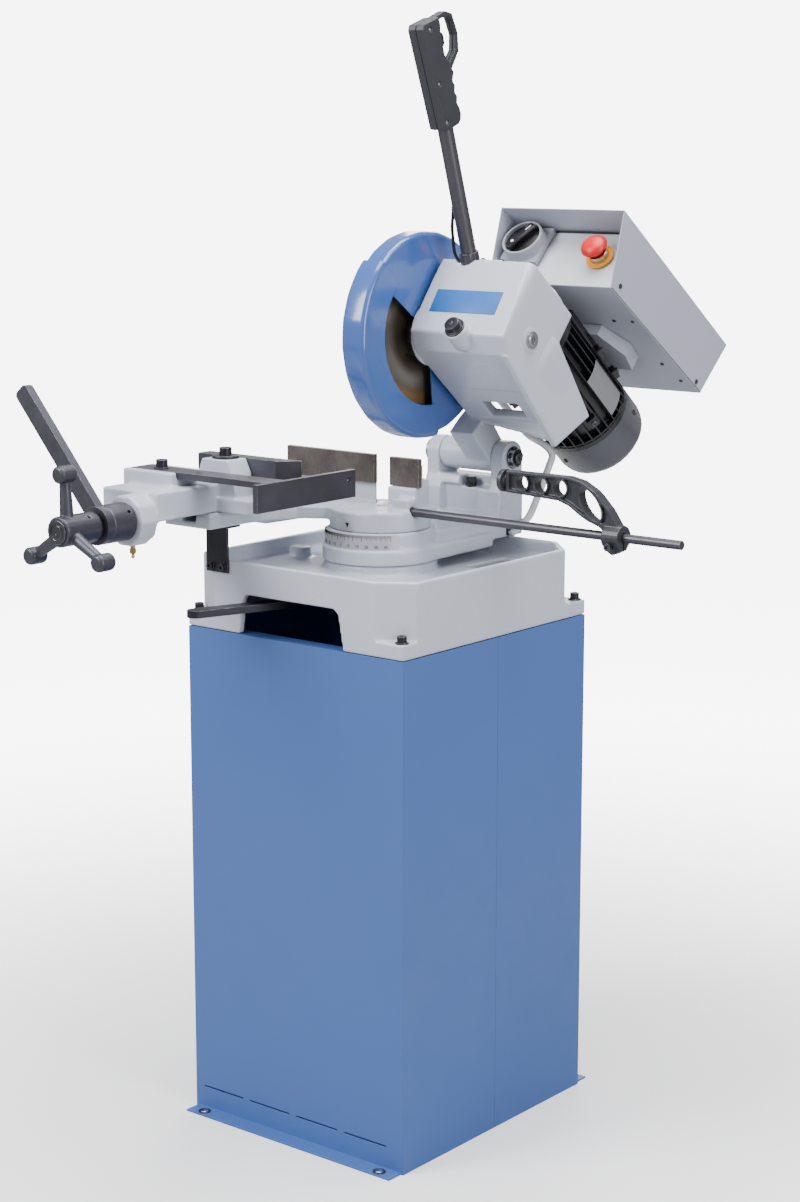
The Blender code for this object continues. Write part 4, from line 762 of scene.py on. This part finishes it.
screw = cap_screw("jaw_screw", mm(*JAW_SCREW, JAW_WASHER_Z + JAW_WASHER_THICK),
                  (0, 0, 1), radius=8.6, height=10.8, body="vise_slide", spin=8)
turned("jaw_screw_washer",
       [(6, JAW_WASHER_THICK), (18.2, JAW_WASHER_THICK), (19, 2.6), (19, 0.2),
        (18.4, 0), (6, 0), (6, JAW_WASHER_THICK)],
       mm(*JAW_SCREW, JAW_WASHER_Z), (0, 0, 1), "vise_slide", "oxide", segments=64)
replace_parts(screw, "jaw_bolt")
screw = cap_screw("burr_stop_screw", mm(*BURR_SCREW, BURR_WASHER_Z + BURR_WASHER_THICK),
                  (0, 0, 1), radius=8.2, height=10.6, body="vise_slide", spin=20)
washer("burr_stop_washer", mm(*BURR_SCREW, BURR_WASHER_Z), radius=11, hole=5.6,
       thickness=BURR_WASHER_THICK, body="vise_slide")
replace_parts(screw, "anti_burr_screw")

# grease nipple under the screw boss
turned("grease_nipple",
       [(0, 17), (1.6, 17), (2.8, 15), (2.0, 12.5), (2.4, 11), (4.6, 9.6, "hex"),
        (4.6, 4, "hex"), (3.4, 3.4), (3.4, -2), (0, -2)],
       mm(VISE_SCREW_X, -360, 858.6), (0, 0, -1), "vise_slide", "brass", segments=24)

# ======================================================================
# Angle scale: divisions and figures on the band, index on the table
# ======================================================================
SCALE_RADIUS = 78.75
SCALE_END = 50  # degrees each side of the middle
MARK_TOP = 856.4
FIGURE_Z, FIGURE_SIZE = 838.6, 6.0
INDEX_RADIUS = 72.0


def on_scale(radius, angle, z):
    """Point round the swivel axis; angle in radians from straight ahead."""
    t = math.radians(-90) + angle
    return mm(radius * math.cos(t), SWIVEL_Y + radius * math.sin(t), z)


def scale_marks():
    points, faces = [], []
    for degree in range(-SCALE_END, SCALE_END + 1):
        major = degree % 5 == 0
        height = 8.5 if degree % 10 == 0 else (6.5 if major else 4.0)
        half = (0.42 if major else 0.26) / 2
        a = math.radians(degree)
        side = Vector((math.cos(a), math.sin(a), 0))
        first = len(points)
        bottom = MARK_TOP - height
        for out in (-0.25, 0.06):
            for across, z in ((-half, bottom), (half, bottom), (half, MARK_TOP),
                              (-half, MARK_TOP)):
                points.append(on_scale(SCALE_RADIUS + out, a, z) + side * across * MM)
        for face in ((0, 1, 2, 3), (4, 5, 6, 7), (0, 1, 5, 4), (1, 2, 6, 5),
                     (2, 3, 7, 6), (3, 0, 4, 7)):
            faces.append([first + k for k in face])
    add(mesh_from("scale_marks", points, faces), "scale_marks", "swivel", "ink")


def scale_figure(degree):
    """Figure bent round the band."""
    text = str(abs(degree))
    curve = bpy.data.curves.new("figure_" + text, "FONT")
    curve.body = text
    curve.size = FIGURE_SIZE * MM
    curve.align_x = "CENTER"
    curve.extrude = 0.12 * MM
    holder = bpy.data.objects.new("figure_tmp", curve)
    bpy.context.scene.collection.objects.link(holder)
    bpy.context.view_layer.update()
    mesh = evaluated(holder, "figure")
    bpy.data.objects.remove(holder)
    for vert in mesh.vertices:
        x, y, z = vert.co / MM
        vert.co = on_scale(SCALE_RADIUS - 0.05 + z,
                           math.radians(degree) + x / SCALE_RADIUS, FIGURE_Z + y)
    name = f"scale_figure_{'m' if degree < 0 else 'p'}{abs(degree)}"
    add(mesh, name, "swivel", "ink", smooth_angle=None)


def index_mark():
    """Thin triangle pointing down at the scale."""
    corners = ((-3.4, 871.8), (3.4, 871.8), (0, 864.4))  # across, z
    points = [on_scale(radius, across / INDEX_RADIUS, z)
              for radius in (71.9, 72.75) for across, z in corners]
    faces = ((0, 1, 2), (3, 4, 5), (0, 1, 4, 3), (1, 2, 5, 4), (2, 0, 3, 5))
    add(mesh_from("index_mark", points, faces), "index_mark", "base", "ink")


scale_marks()
for degree in range(-45, 46, 10):
    scale_figure(degree)
index_mark()
block("index_plate", (17, 1.0, 15),
      Matrix.Translation(mm(0, SWIVEL_Y - INDEX_RADIUS, 868)), "base", "scale",
      bevel=0.35, segments=2)

# ======================================================================
# Head: plugs, plates, hinge hardware
# ======================================================================
# the gearbox front leans in by FRONT_LEAN over FRONT_HEIGHT, from its top edge down
FRONT_TOP_Y, FRONT_TOP_Z = -274.8, 153
FRONT_LEAN, FRONT_HEIGHT = 9.8, 124.0
LABEL_X, LABEL_Z, LABEL_OUT = 101, 81, 0.25
OIL_LEVEL_YZ = (-211, 64)
COVER_Z, COVER_THICK = 152.5, 5.6
COVER_SCREW_Y, COVER_SCREW_DX, COVER_SCREW_DY = -220, 15.5, 44


def front_label():
    draft = math.atan2(FRONT_LEAN, FRONT_HEIGHT)
    outward = head_dir(0, -math.cos(draft), -math.sin(draft))
    up = head_dir(0, -math.sin(draft), math.cos(draft))
    y = FRONT_TOP_Y + (FRONT_TOP_Z - LABEL_Z) * FRONT_LEAN / FRONT_HEIGHT
    origin = head(LABEL_X, y, LABEL_Z) + outward * LABEL_OUT * MM
    block("front_label_plate", (114, 36.5, 0.9), frame_of(RIGHT, up, -outward, origin),
          "head", "label", bevel=0.4, segments=2)


front_label()
plug = turned("oil_fill_cap",
              [(0, 13.0), (2.4, 13.0), (2.8, 12.4), (2.8, 11.6), (9.2, 11.6),
               (10.6, 11.2), (12.2, 9.6, "hex"), (12.2, 2.6, "hex"), (14.4, 2.2),
               (14.9, 1.6), (14.9, 0), (0, 0)],
              head(111, -276.6, 31), FRONT, "head", "oxide", spin=9)
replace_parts(plug, "oil_fill_plug")
turned("oil_level_seat",
       [(9.4, 1.6), (15.0, 1.6), (17.4, 0.8), (18.2, -1.5), (9.4, -1.5), (9.4, 1.6)],
       head(187.0, *OIL_LEVEL_YZ), RIGHT, "head", "cast")
turned("oil_level_head",
       [(0, 2.2), (4.6, 2.2, "hex"), (4.6, 5.4, "hex"), (8.0, 5.4), (9.2, 4.4),
        (9.4, 0), (0, 0)],
       head(187.6, *OIL_LEVEL_YZ), RIGHT, "head", "steel")


def ease(value, low, high):
    t = min(1.0, max(0.0, (value - low) / (high - low)))
    return t * t * (3 - 2 * t)


def shoulder_top(y):
    """Upper edge: rises from y -172 to -156, then falls towards the back."""
    if y < -156:
        return 101 + (y + 172) * 3 / 16 - 2.0
    return 104 - (y + 156) * 36 / 134 - 2.0


def side_shoulder():
    """Where the gearbox side steps out to the plate that runs past the motor: a
    rounded shoulder that fades out backwards and downwards."""
    front, back, bottom = -180, -66, 26
    face_x, root_x, swell = 186.7, 184.0, 4.4
    columns, rows = 30, 22
    bm = bmesh.new()
    tops, lows = [], []
    for i in range(columns + 1):
        y = front + (back - front) * i / columns
        edge = shoulder_top(y)
        top, low = [], []
        for j in range(rows + 1):
            z = bottom + (edge - bottom) * j / rows
            rise = (swell * ease(y, -178, -166) * (1 - ease(y, -160, -72))
                    * ease(z, 28, 74) * (1 - ease(z, edge - 6, edge + 2)))
            top.append(bm.verts.new(head(face_x + rise, y, z)))
            low.append(bm.verts.new(head(root_x, y, z)))
        tops.append(top)
        lows.append(low)
    for i in range(columns):
        for j in range(rows):
            bm.faces.new((tops[i][j], tops[i + 1][j], tops[i + 1][j + 1],
                          tops[i][j + 1]))
            bm.faces.new((lows[i][j], lows[i][j + 1], lows[i + 1][j + 1],
                          lows[i + 1][j]))
    for i in range(columns):
        for j in (0, rows):
            bm.faces.new((tops[i][j], lows[i][j], lows[i + 1][j], tops[i + 1][j]))
    for j in range(rows):
        for i in (0, columns):
            bm.faces.new((tops[i][j], tops[i][j + 1], lows[i][j + 1], lows[i][j]))
    name = "casting_side_shoulder"
    add(to_mesh(bm, name), name, "head", "cast")


side_shoulder()

# cover over the worm, on top of the gearbox, with its four screws
block("worm_cover", (40, 101, COVER_THICK),
      Matrix.Translation(head(MOTOR_X, -218, COVER_Z)) @ TILT, "head", "cast",
      bevel=1.2, segments=3)
for i, (side, end) in enumerate(((-1, -1), (1, -1), (-1, 1), (1, 1))):
    turned(f"worm_cover_screw_{i}",
           [(0, 1.2), (2.1, 1.2, "hex"), (2.1, 3.0, "hex"), (3.6, 3.0), (4.4, 2.2),
            (4.4, -0.6), (0, -0.6)],
           head(MOTOR_X + side * COVER_SCREW_DX, COVER_SCREW_Y + end * COVER_SCREW_DY,
                COVER_Z + COVER_THICK / 2),
           UP, "head", "oxide", segments=24)

# chamfered hinge nut over the plain one, and the pin's drilled end
turned("hinge_nut_right",
       [(8.2, 7.6), (11.6, 7.6), (12.6, 7.3), (15.2, 6.0, "hex"), (15.2, 1.2, "hex"),
        (16.4, 1.0), (16.4, 0.2), (8.2, 0.2), (8.2, 7.6)],
       HINGE + mm(71.6, 0, 0), (1, 0, 0), "swivel", "oxide", spin=14)
turned("hinge_pin_end",
       [(0, 0.6), (1.6, 0.6), (2.2, 2.2), (7.2, 2.2), (8.1, 1.4), (8.1, -2), (0, -2)],
       HINGE + mm(80.4, 0, 0), (1, 0, 0), "swivel", "screw_end", segments=32)
# handwheel end: washer, ring groove and the drilled end of the screw
turned("handwheel_end",
       [(0, 1.2), (2.0, 1.2), (2.3, 3.4), (8.8, 3.4), (9.4, 2.8), (9.4, 1.8),
        (11.2, 1.8), (11.6, 3.0), (15.4, 3.0), (16.2, 2.2), (16.2, -0.5), (0, -0.5)],
       mm(VISE_SCREW_X, -494.4, VISE_SCREW_Z), (0, -1, 0), "handwheel", "screw_end")

# ======================================================================
# Motor: flange bolts, mounting lugs, cowl screws, nameplate, rear ring
# ======================================================================
FLANGE_BOLT_Y, FLANGE_BOLT_RING = -129.8, 63
LUG_RADIUS, LUG_SIZE = 70.0, (15, 17, 13)
LUGS = [(47, -27), (47, 24), (-35, 15), (-35, -60),
        (228, 24), (228, -40), (133, 24), (133, -40)]  # angle, y
COWL_SCREW_Y, COWL_SCREW_RADIUS = 88, 69.8

for i, angle in enumerate((20, 110, 200, 290, 335)):
    hex_head(f"motor_flange_bolt_{i}", on_motor(FLANGE_BOLT_Y, FLANGE_BOLT_RING, angle),
             BACK, radius=6.0, height=5.0, body="head", spin=i * 13)


def lug(name, angle, y):
    """Block on the motor's side with a screw in its outer face."""
    outward = motor_out(angle)
    centre = on_motor(y, LUG_RADIUS, angle)
    block(name, LUG_SIZE, frame_of(BACK.cross(outward), BACK, outward, centre),
          "head", "motor", bevel=1.6, segments=3)
    turned(name + "_screw",
           [(0, 1.0), (1.9, 1.0, "hex"), (1.9, 2.6, "hex"), (3.4, 2.6), (4.2, 1.8),
            (4.2, -1), (0, -1)],
           centre + outward * (LUG_SIZE[2] / 2) * MM, outward, "head", "screw_end",
           segments=24)


for i, (angle, y) in enumerate(LUGS):
    lug(f"motor_lug_{i}", angle, y)
for i, angle in enumerate((-102, 22, 142, 205)):
    turned(f"cowl_screw_{i}",
           [(0, 1.8), (0.7, 1.8), (0.7, 1.1), (1.1, 1.1), (1.1, 1.9), (3.0, 1.5),
            (4.0, 0.4), (4.0, -1), (0, -1)],
           on_motor(COWL_SCREW_Y, COWL_SCREW_RADIUS, angle), motor_out(angle), "head",
           "oxide", segments=24)


def motor_nameplate():
    """Foil plate wrapped over the fins of the motor's right side."""
    start, end, steps = -12, 20, 12
    points = [on_motor(y, radius, start + (end - start) * i / steps)
              for i in range(steps + 1) for radius in (70.2, 70.9) for y in (-47, 36)]
    faces = []
    for a in range(0, 4 * steps, 4):
        b = a + 4
        for p, q in ((0, 1), (2, 3), (0, 2), (1, 3)):
            faces.append((a + p, a + q, b + q, b + p))
    last = 4 * steps
    faces.append((0, 1, 3, 2))
    faces.append((last, last + 1, last + 3, last + 2))
    add(mesh_from("motor_nameplate", points, faces), "motor_nameplate", "head", "plate")


motor_nameplate()
turned("motor_rear_ring",
       [(60.5, 8.6), (69.3, 8.6), (69.7, 8.2), (69.7, 0.4), (69.3, 0), (60.5, 0),
        (60.5, 8.6)],
       on_motor(51.9), BACK, "head", "motor", segments=72)

# ======================================================================
# Control box: side screws, floor screws, painted shadow under the cover lip and painted
# shade in the panel gap
# ======================================================================
BOX_LEFT, BOX_RIGHT = 2.9, 220.1
# the box floor rises by FLOOR_RISE over FLOOR_RUN, from its front edge back
FLOOR_FRONT_Y, FLOOR_FRONT_Z = -141, 208
FLOOR_RISE, FLOOR_RUN = 27, 294
PANEL_GAP_YZ = (-133.4, 309.6)


def pan_screw(name, base, axis, radius=4.0):
    turned(name, [(0, 0.9), (1.3, 0.9, "hex"), (1.3, 1.9, "hex"), (radius * 0.62, 1.9),
                  (radius * 0.97, 0.8), (radius, 0), (0, 0)],
           base, axis, "head", "oxide", segments=24)


def dark_strip(name, start, end, width, thickness, facing):
    """Thin straight dark strip of painted shade from start to end, its face turned
    towards facing.
    """
    run = (end - start).normalized()
    side = facing.cross(run).normalized()
    block(name, ((end - start).length / MM, width, thickness),
          frame_of(run, side, facing, (start + end) / 2), "head", "ink",
          bevel=min(width, thickness) * 0.3, segments=2, slot="black_plastic")


for i, (y, z) in enumerate(((-124, 224), (132, 241))):
    pan_screw(f"box_screw_{i}", head(BOX_RIGHT, y, z), RIGHT)
    pan_screw(f"box_screw_left_{i}", head(BOX_LEFT, y, z), LEFT)
for i, (x, y) in enumerate(((176, -50), (208, -50), (196, 70), (204, 118))):
    z = FLOOR_FRONT_Z + (y - FLOOR_FRONT_Y) * FLOOR_RISE / FLOOR_RUN
    pan_screw(f"floor_screw_{i}", head(x, y, z - 0.1),
              head_dir(0, FLOOR_RISE, -FLOOR_RUN), radius=3.0)
# painted shadow along the cover's lip
dark_strip("cover_lip_shadow", head(BOX_RIGHT, -139, 209.8), head(BOX_RIGHT, 152, 236.4),
           width=0.9, thickness=0.7, facing=RIGHT)
# painted shade in the gap between the panel and the hood
dark_strip("panel_gap_shade", head(8, *PANEL_GAP_YZ), head(216, *PANEL_GAP_YZ),
           width=2.6, thickness=2.6, facing=FRONT)

# ======================================================================
# Controls on the panel
# ======================================================================
PANEL_LEAN = math.radians(4.7)
PANEL_OUT = head_dir(0, -math.cos(PANEL_LEAN), math.sin(PANEL_LEAN))
PANEL_UP = head_dir(0, math.sin(PANEL_LEAN), math.cos(PANEL_LEAN))
KNOB = head(43, -135.6, 274.5)
STOP = head(176, -136.2, 262)
KNOB_TURN = math.radians(-30)
BAR_SIDE = RIGHT * math.cos(KNOB_TURN) + PANEL_UP * math.sin(KNOB_TURN)
BAR_ALONG = PANEL_OUT.cross(BAR_SIDE)


def on_knob(along, height):
    return KNOB + (BAR_ALONG * along + PANEL_OUT * height) * MM


def knob_block(name, size, along, height, finish, bevel, segments):
    frame = frame_of(BAR_SIDE, BAR_ALONG, PANEL_OUT, on_knob(along, height))
    block(name, size, frame, "switch_knob", finish, bevel, segments)


turned("switch_collar",
       [(28.2, 10.2), (28.2, 25.2), (28.8, 25.9), (30.8, 25.9), (31.8, 25.0),
        (32.2, 12.2), (33.4, 10.6), (33.6, 10.0), (28.2, 10.0), (28.2, 10.2)],
       KNOB, PANEL_OUT, "head", "collar", segments=64)
dial = turned("switch_dial",
              [(0, 22.0), (24.0, 22.0), (26.0, 21.4), (27.5, 20.2), (27.7, 14.4),
               (0, 14.4)],
              KNOB, PANEL_OUT, "switch_knob", "black", segments=64)
knob_block("switch_bar", (13.5, 50, 12.0), along=0, height=26.0, finish="black",
           bevel=2.4, segments=4)
knob_block("switch_pointer", (2.0, 11, 0.6), along=15.5, height=31.9, finish="white",
           bevel=0.2, segments=2)
turned("switch_lock_hole", [(0, 0.5), (2.2, 0.5), (2.6, 0.0), (0, 0)],
       on_knob(-15, 31.8), PANEL_OUT, "switch_knob", "white", segments=20)
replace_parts(dial, "switch_knob")

mushroom = turned("estop_mushroom",
                  [(0, 35), (6, 34.8), (11, 33.9), (15, 32.3), (18, 29.9),
                   (19.7, 26.9), (20.0, 24.6), (19.4, 23.2), (17.4, 22.2),
                   (14.6, 20.6), (12.8, 18.4), (12.4, 16.8), (8.4, 16.8), (8.4, 3),
                   (0, 3)],
                  STOP, PANEL_OUT, "estop_button", "red", segments=64,
                  smooth_angle=50)
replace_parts(mushroom, "estop_button")
turned("estop_collar_ring",
       [(9.2, 13.2), (13.4, 13.2), (14.8, 12.2), (14.9, 5.0), (9.2, 5.0), (9.2, 13.2)],
       STOP, PANEL_OUT, "head", "steel")

# ======================================================================
# Handle: trigger cable, nut at its foot, grip screws
# ======================================================================
HANDLE_RISE = math.radians(32.35)
HANDLE_ALONG = Vector((0, -math.cos(HANDLE_RISE), math.sin(HANDLE_RISE)))
HANDLE_BACK = Vector((0, math.sin(HANDLE_RISE), math.cos(HANDLE_RISE)))
HANDLE_FOOT = Vector((68, -258, 152))


def on_handle(along, back, side=0.0):
    point = HANDLE_FOOT + HANDLE_ALONG * along + HANDLE_BACK * back
    return head(point.x + side, point.y, point.z)


# from the control box, up the handle tube and into the grip
CABLE = [head(2.4, -60, 240), head(-7, -84, 232), head(-2, -124, 214),
         head(14, -152, 206), head(39, -174, 193), head(43, -210, 172),
         head(40, -242, 163),
         on_handle(11, 7, -30), on_handle(32, 4, -27), on_handle(54, 2, -22.5),
         on_handle(76, 4, -17.5), on_handle(112, 9, -11), on_handle(150, 12.6, -4),
         on_handle(200, 12.6)]
add(tube("trigger_cable", CABLE, radius=2.3, segments=12, steps=8), "trigger_cable",
    "head", "rubber")
turned("handle_nut_soft",
       [(11.2, 15.2), (12.6, 15.2), (13.4, 14.8), (14.2, 13.6, "hex"),
        (14.2, 1.6, "hex"), (13.0, 0.2), (11.2, 0.2), (11.2, 15.2)],
       on_handle(4.3, 0), TILT.to_3x3() @ HANDLE_ALONG, "head", "tube", spin=12)
for i, (along, back) in enumerate(((336.0, -8.0), (262.0, -10.0), (208.0, -9.0))):
    turned(f"grip_screw_{i}",
           [(0, 0.2), (1.0, 0.2), (1.0, 0.9), (2.2, 0.9), (2.7, 0.5), (2.7, -1.5),
            (0, -1.5)],
           on_handle(along, back, 11.6), RIGHT, "head", "steel", segments=20)

# ======================================================================
# Coolant hose: fixed to the column, bends to the head behind the blade
# ======================================================================
HOSE = [mm(77, 186, 827), mm(78, 204, 836), mm(80, 228, 850), mm(81, 247, 876),
        mm(81, 264, 902), mm(81, 276, 920), mm(83, 280, 936), mm(74, 272, 951),
        mm(52, 262, 965), mm(32, 256, 988), mm(14, 244, 1014), mm(0, 222, 1038),
        mm(-4, 196, 1056)]
hose = add(tube("coolant_hose_line", HOSE, radius=5.4, segments=16, steps=12),
           "coolant_hose_line", None, "hose")
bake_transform(hose)
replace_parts(hose, "coolant_hose")
block("hose_clip", (5, 16, 12), Matrix.Translation(mm(72.8, 192, 832)), "swivel",
      "oxide", bevel=0.8, segments=2)

# ======================================================================
# Stage, light and camera (metres)
# ======================================================================
FLOOR_HALF = 6.0
BACKDROP_GLOW = 7.0  # brightness of the far floor and of the world, to the camera


def floor_material():
    """Pale to the camera and fading into the backdrop far from the saw, but dull
    to other rays, so it bounces less light than it shows."""
    m = Material("floor_pale")
    tone = m.mix(m.noise(scale=1.2, detail=2), linear((236, 236, 238)),
                 linear((243, 243, 244)))
    m.set(color=tone, rough=0.6)
    camera_ray = m.node("LightPath").outputs["Is Camera Ray"]
    distance = m.vector_math("LENGTH", m.node("NewGeometry").outputs["Position"])
    strength = m.ramp(distance, low=0.45, high=2.6, out_low=0.35,
                      out_high=BACKDROP_GLOW, curve="SMOOTHSTEP")
    glow = m.node("Emission", {"Strength": strength}).outputs[0]
    lit = m.node("AddShader", {0: m.surface.outputs[0], 1: glow}).outputs[0]
    dull = m.node("BsdfDiffuse", {"Color": (0.42, 0.42, 0.43)}).outputs[0]
    pick = m.node("MixShader", {0: camera_ray, 1: dull})
    fade = m.ramp(distance, low=1.8, high=4.2)
    shown = m.node("MixShader", {0: fade, 1: lit, 2: glow})
    m.feed(pick.inputs[2], shown.outputs[0])
    m.feed(m.tree.nodes["Material Output"].inputs["Surface"], pick.outputs[0])
    return m.material


def make_floor():
    corners = [(x * FLOOR_HALF, y * FLOOR_HALF, 0)
               for x, y in ((-1, -1), (1, -1), (1, 1), (-1, 1))]
    floor = bpy.data.objects.new("floor", mesh_from("floor", corners, [range(4)]))
    bpy.context.scene.collection.objects.link(floor)
    floor.data.materials.append(floor_material())


def make_world():
    """White world, dim as a light and bright to the camera."""
    world = bpy.data.worlds.new("studio")
    bpy.context.scene.world = world
    world.use_nodes = True
    nodes, links = world.node_tree.nodes, world.node_tree.links
    background = nodes["Background"]
    ray = nodes.new("ShaderNodeLightPath")
    level = nodes.new("ShaderNodeMix")
    level.data_type = "FLOAT"
    links.new(ray.outputs["Is Camera Ray"], level.inputs[0])
    level.inputs[2].default_value = 0.5
    level.inputs[3].default_value = BACKDROP_GLOW
    links.new(level.outputs[0], background.inputs["Strength"])
    background.inputs["Color"].default_value = (1.0, 1.0, 1.0, 1.0)


def aim(obj, direction):
    obj.rotation_euler = direction.to_track_quat("-Z", "Y").to_euler()


def softbox(name, location, target, size, power):
    light = bpy.data.lights.new(name, "AREA")
    light.shape = "RECTANGLE"
    light.size, light.size_y = size
    light.energy = power
    obj = bpy.data.objects.new(name, light)
    bpy.context.scene.collection.objects.link(obj)
    obj.location = location
    aim(obj, Vector(target) - Vector(location))


def make_camera():
    lens = bpy.data.cameras.new("camera")
    lens.lens = 71.59
    lens.sensor_width = 36.0
    lens.sensor_fit = "AUTO"
    camera = bpy.data.objects.new("camera", lens)
    bpy.context.scene.collection.objects.link(camera)
    camera.location = (2.1236, -2.5932, 1.3976)
    aim(camera, Vector((-0.6184, 0.7624, -0.1905)).normalized())
    bpy.context.scene.camera = camera


make_floor()
make_world()
softbox("key", location=(-1.5, -3.0, 2.9), target=(0, 0, 0.8), size=(1.8, 2.0),
        power=175)
softbox("fill", location=(3.4, -0.6, 1.7), target=(0, 0, 0.8), size=(1.2, 2.4),
        power=75)
softbox("top", location=(0.3, 0.1, 3.4), target=(0, 0, 0.9), size=(2.2, 2.2),
        power=150)
softbox("back", location=(-1.6, 3.0, 2.4), target=(0, 0, 1.0), size=(1.6, 1.6),
        power=50)
make_camera()
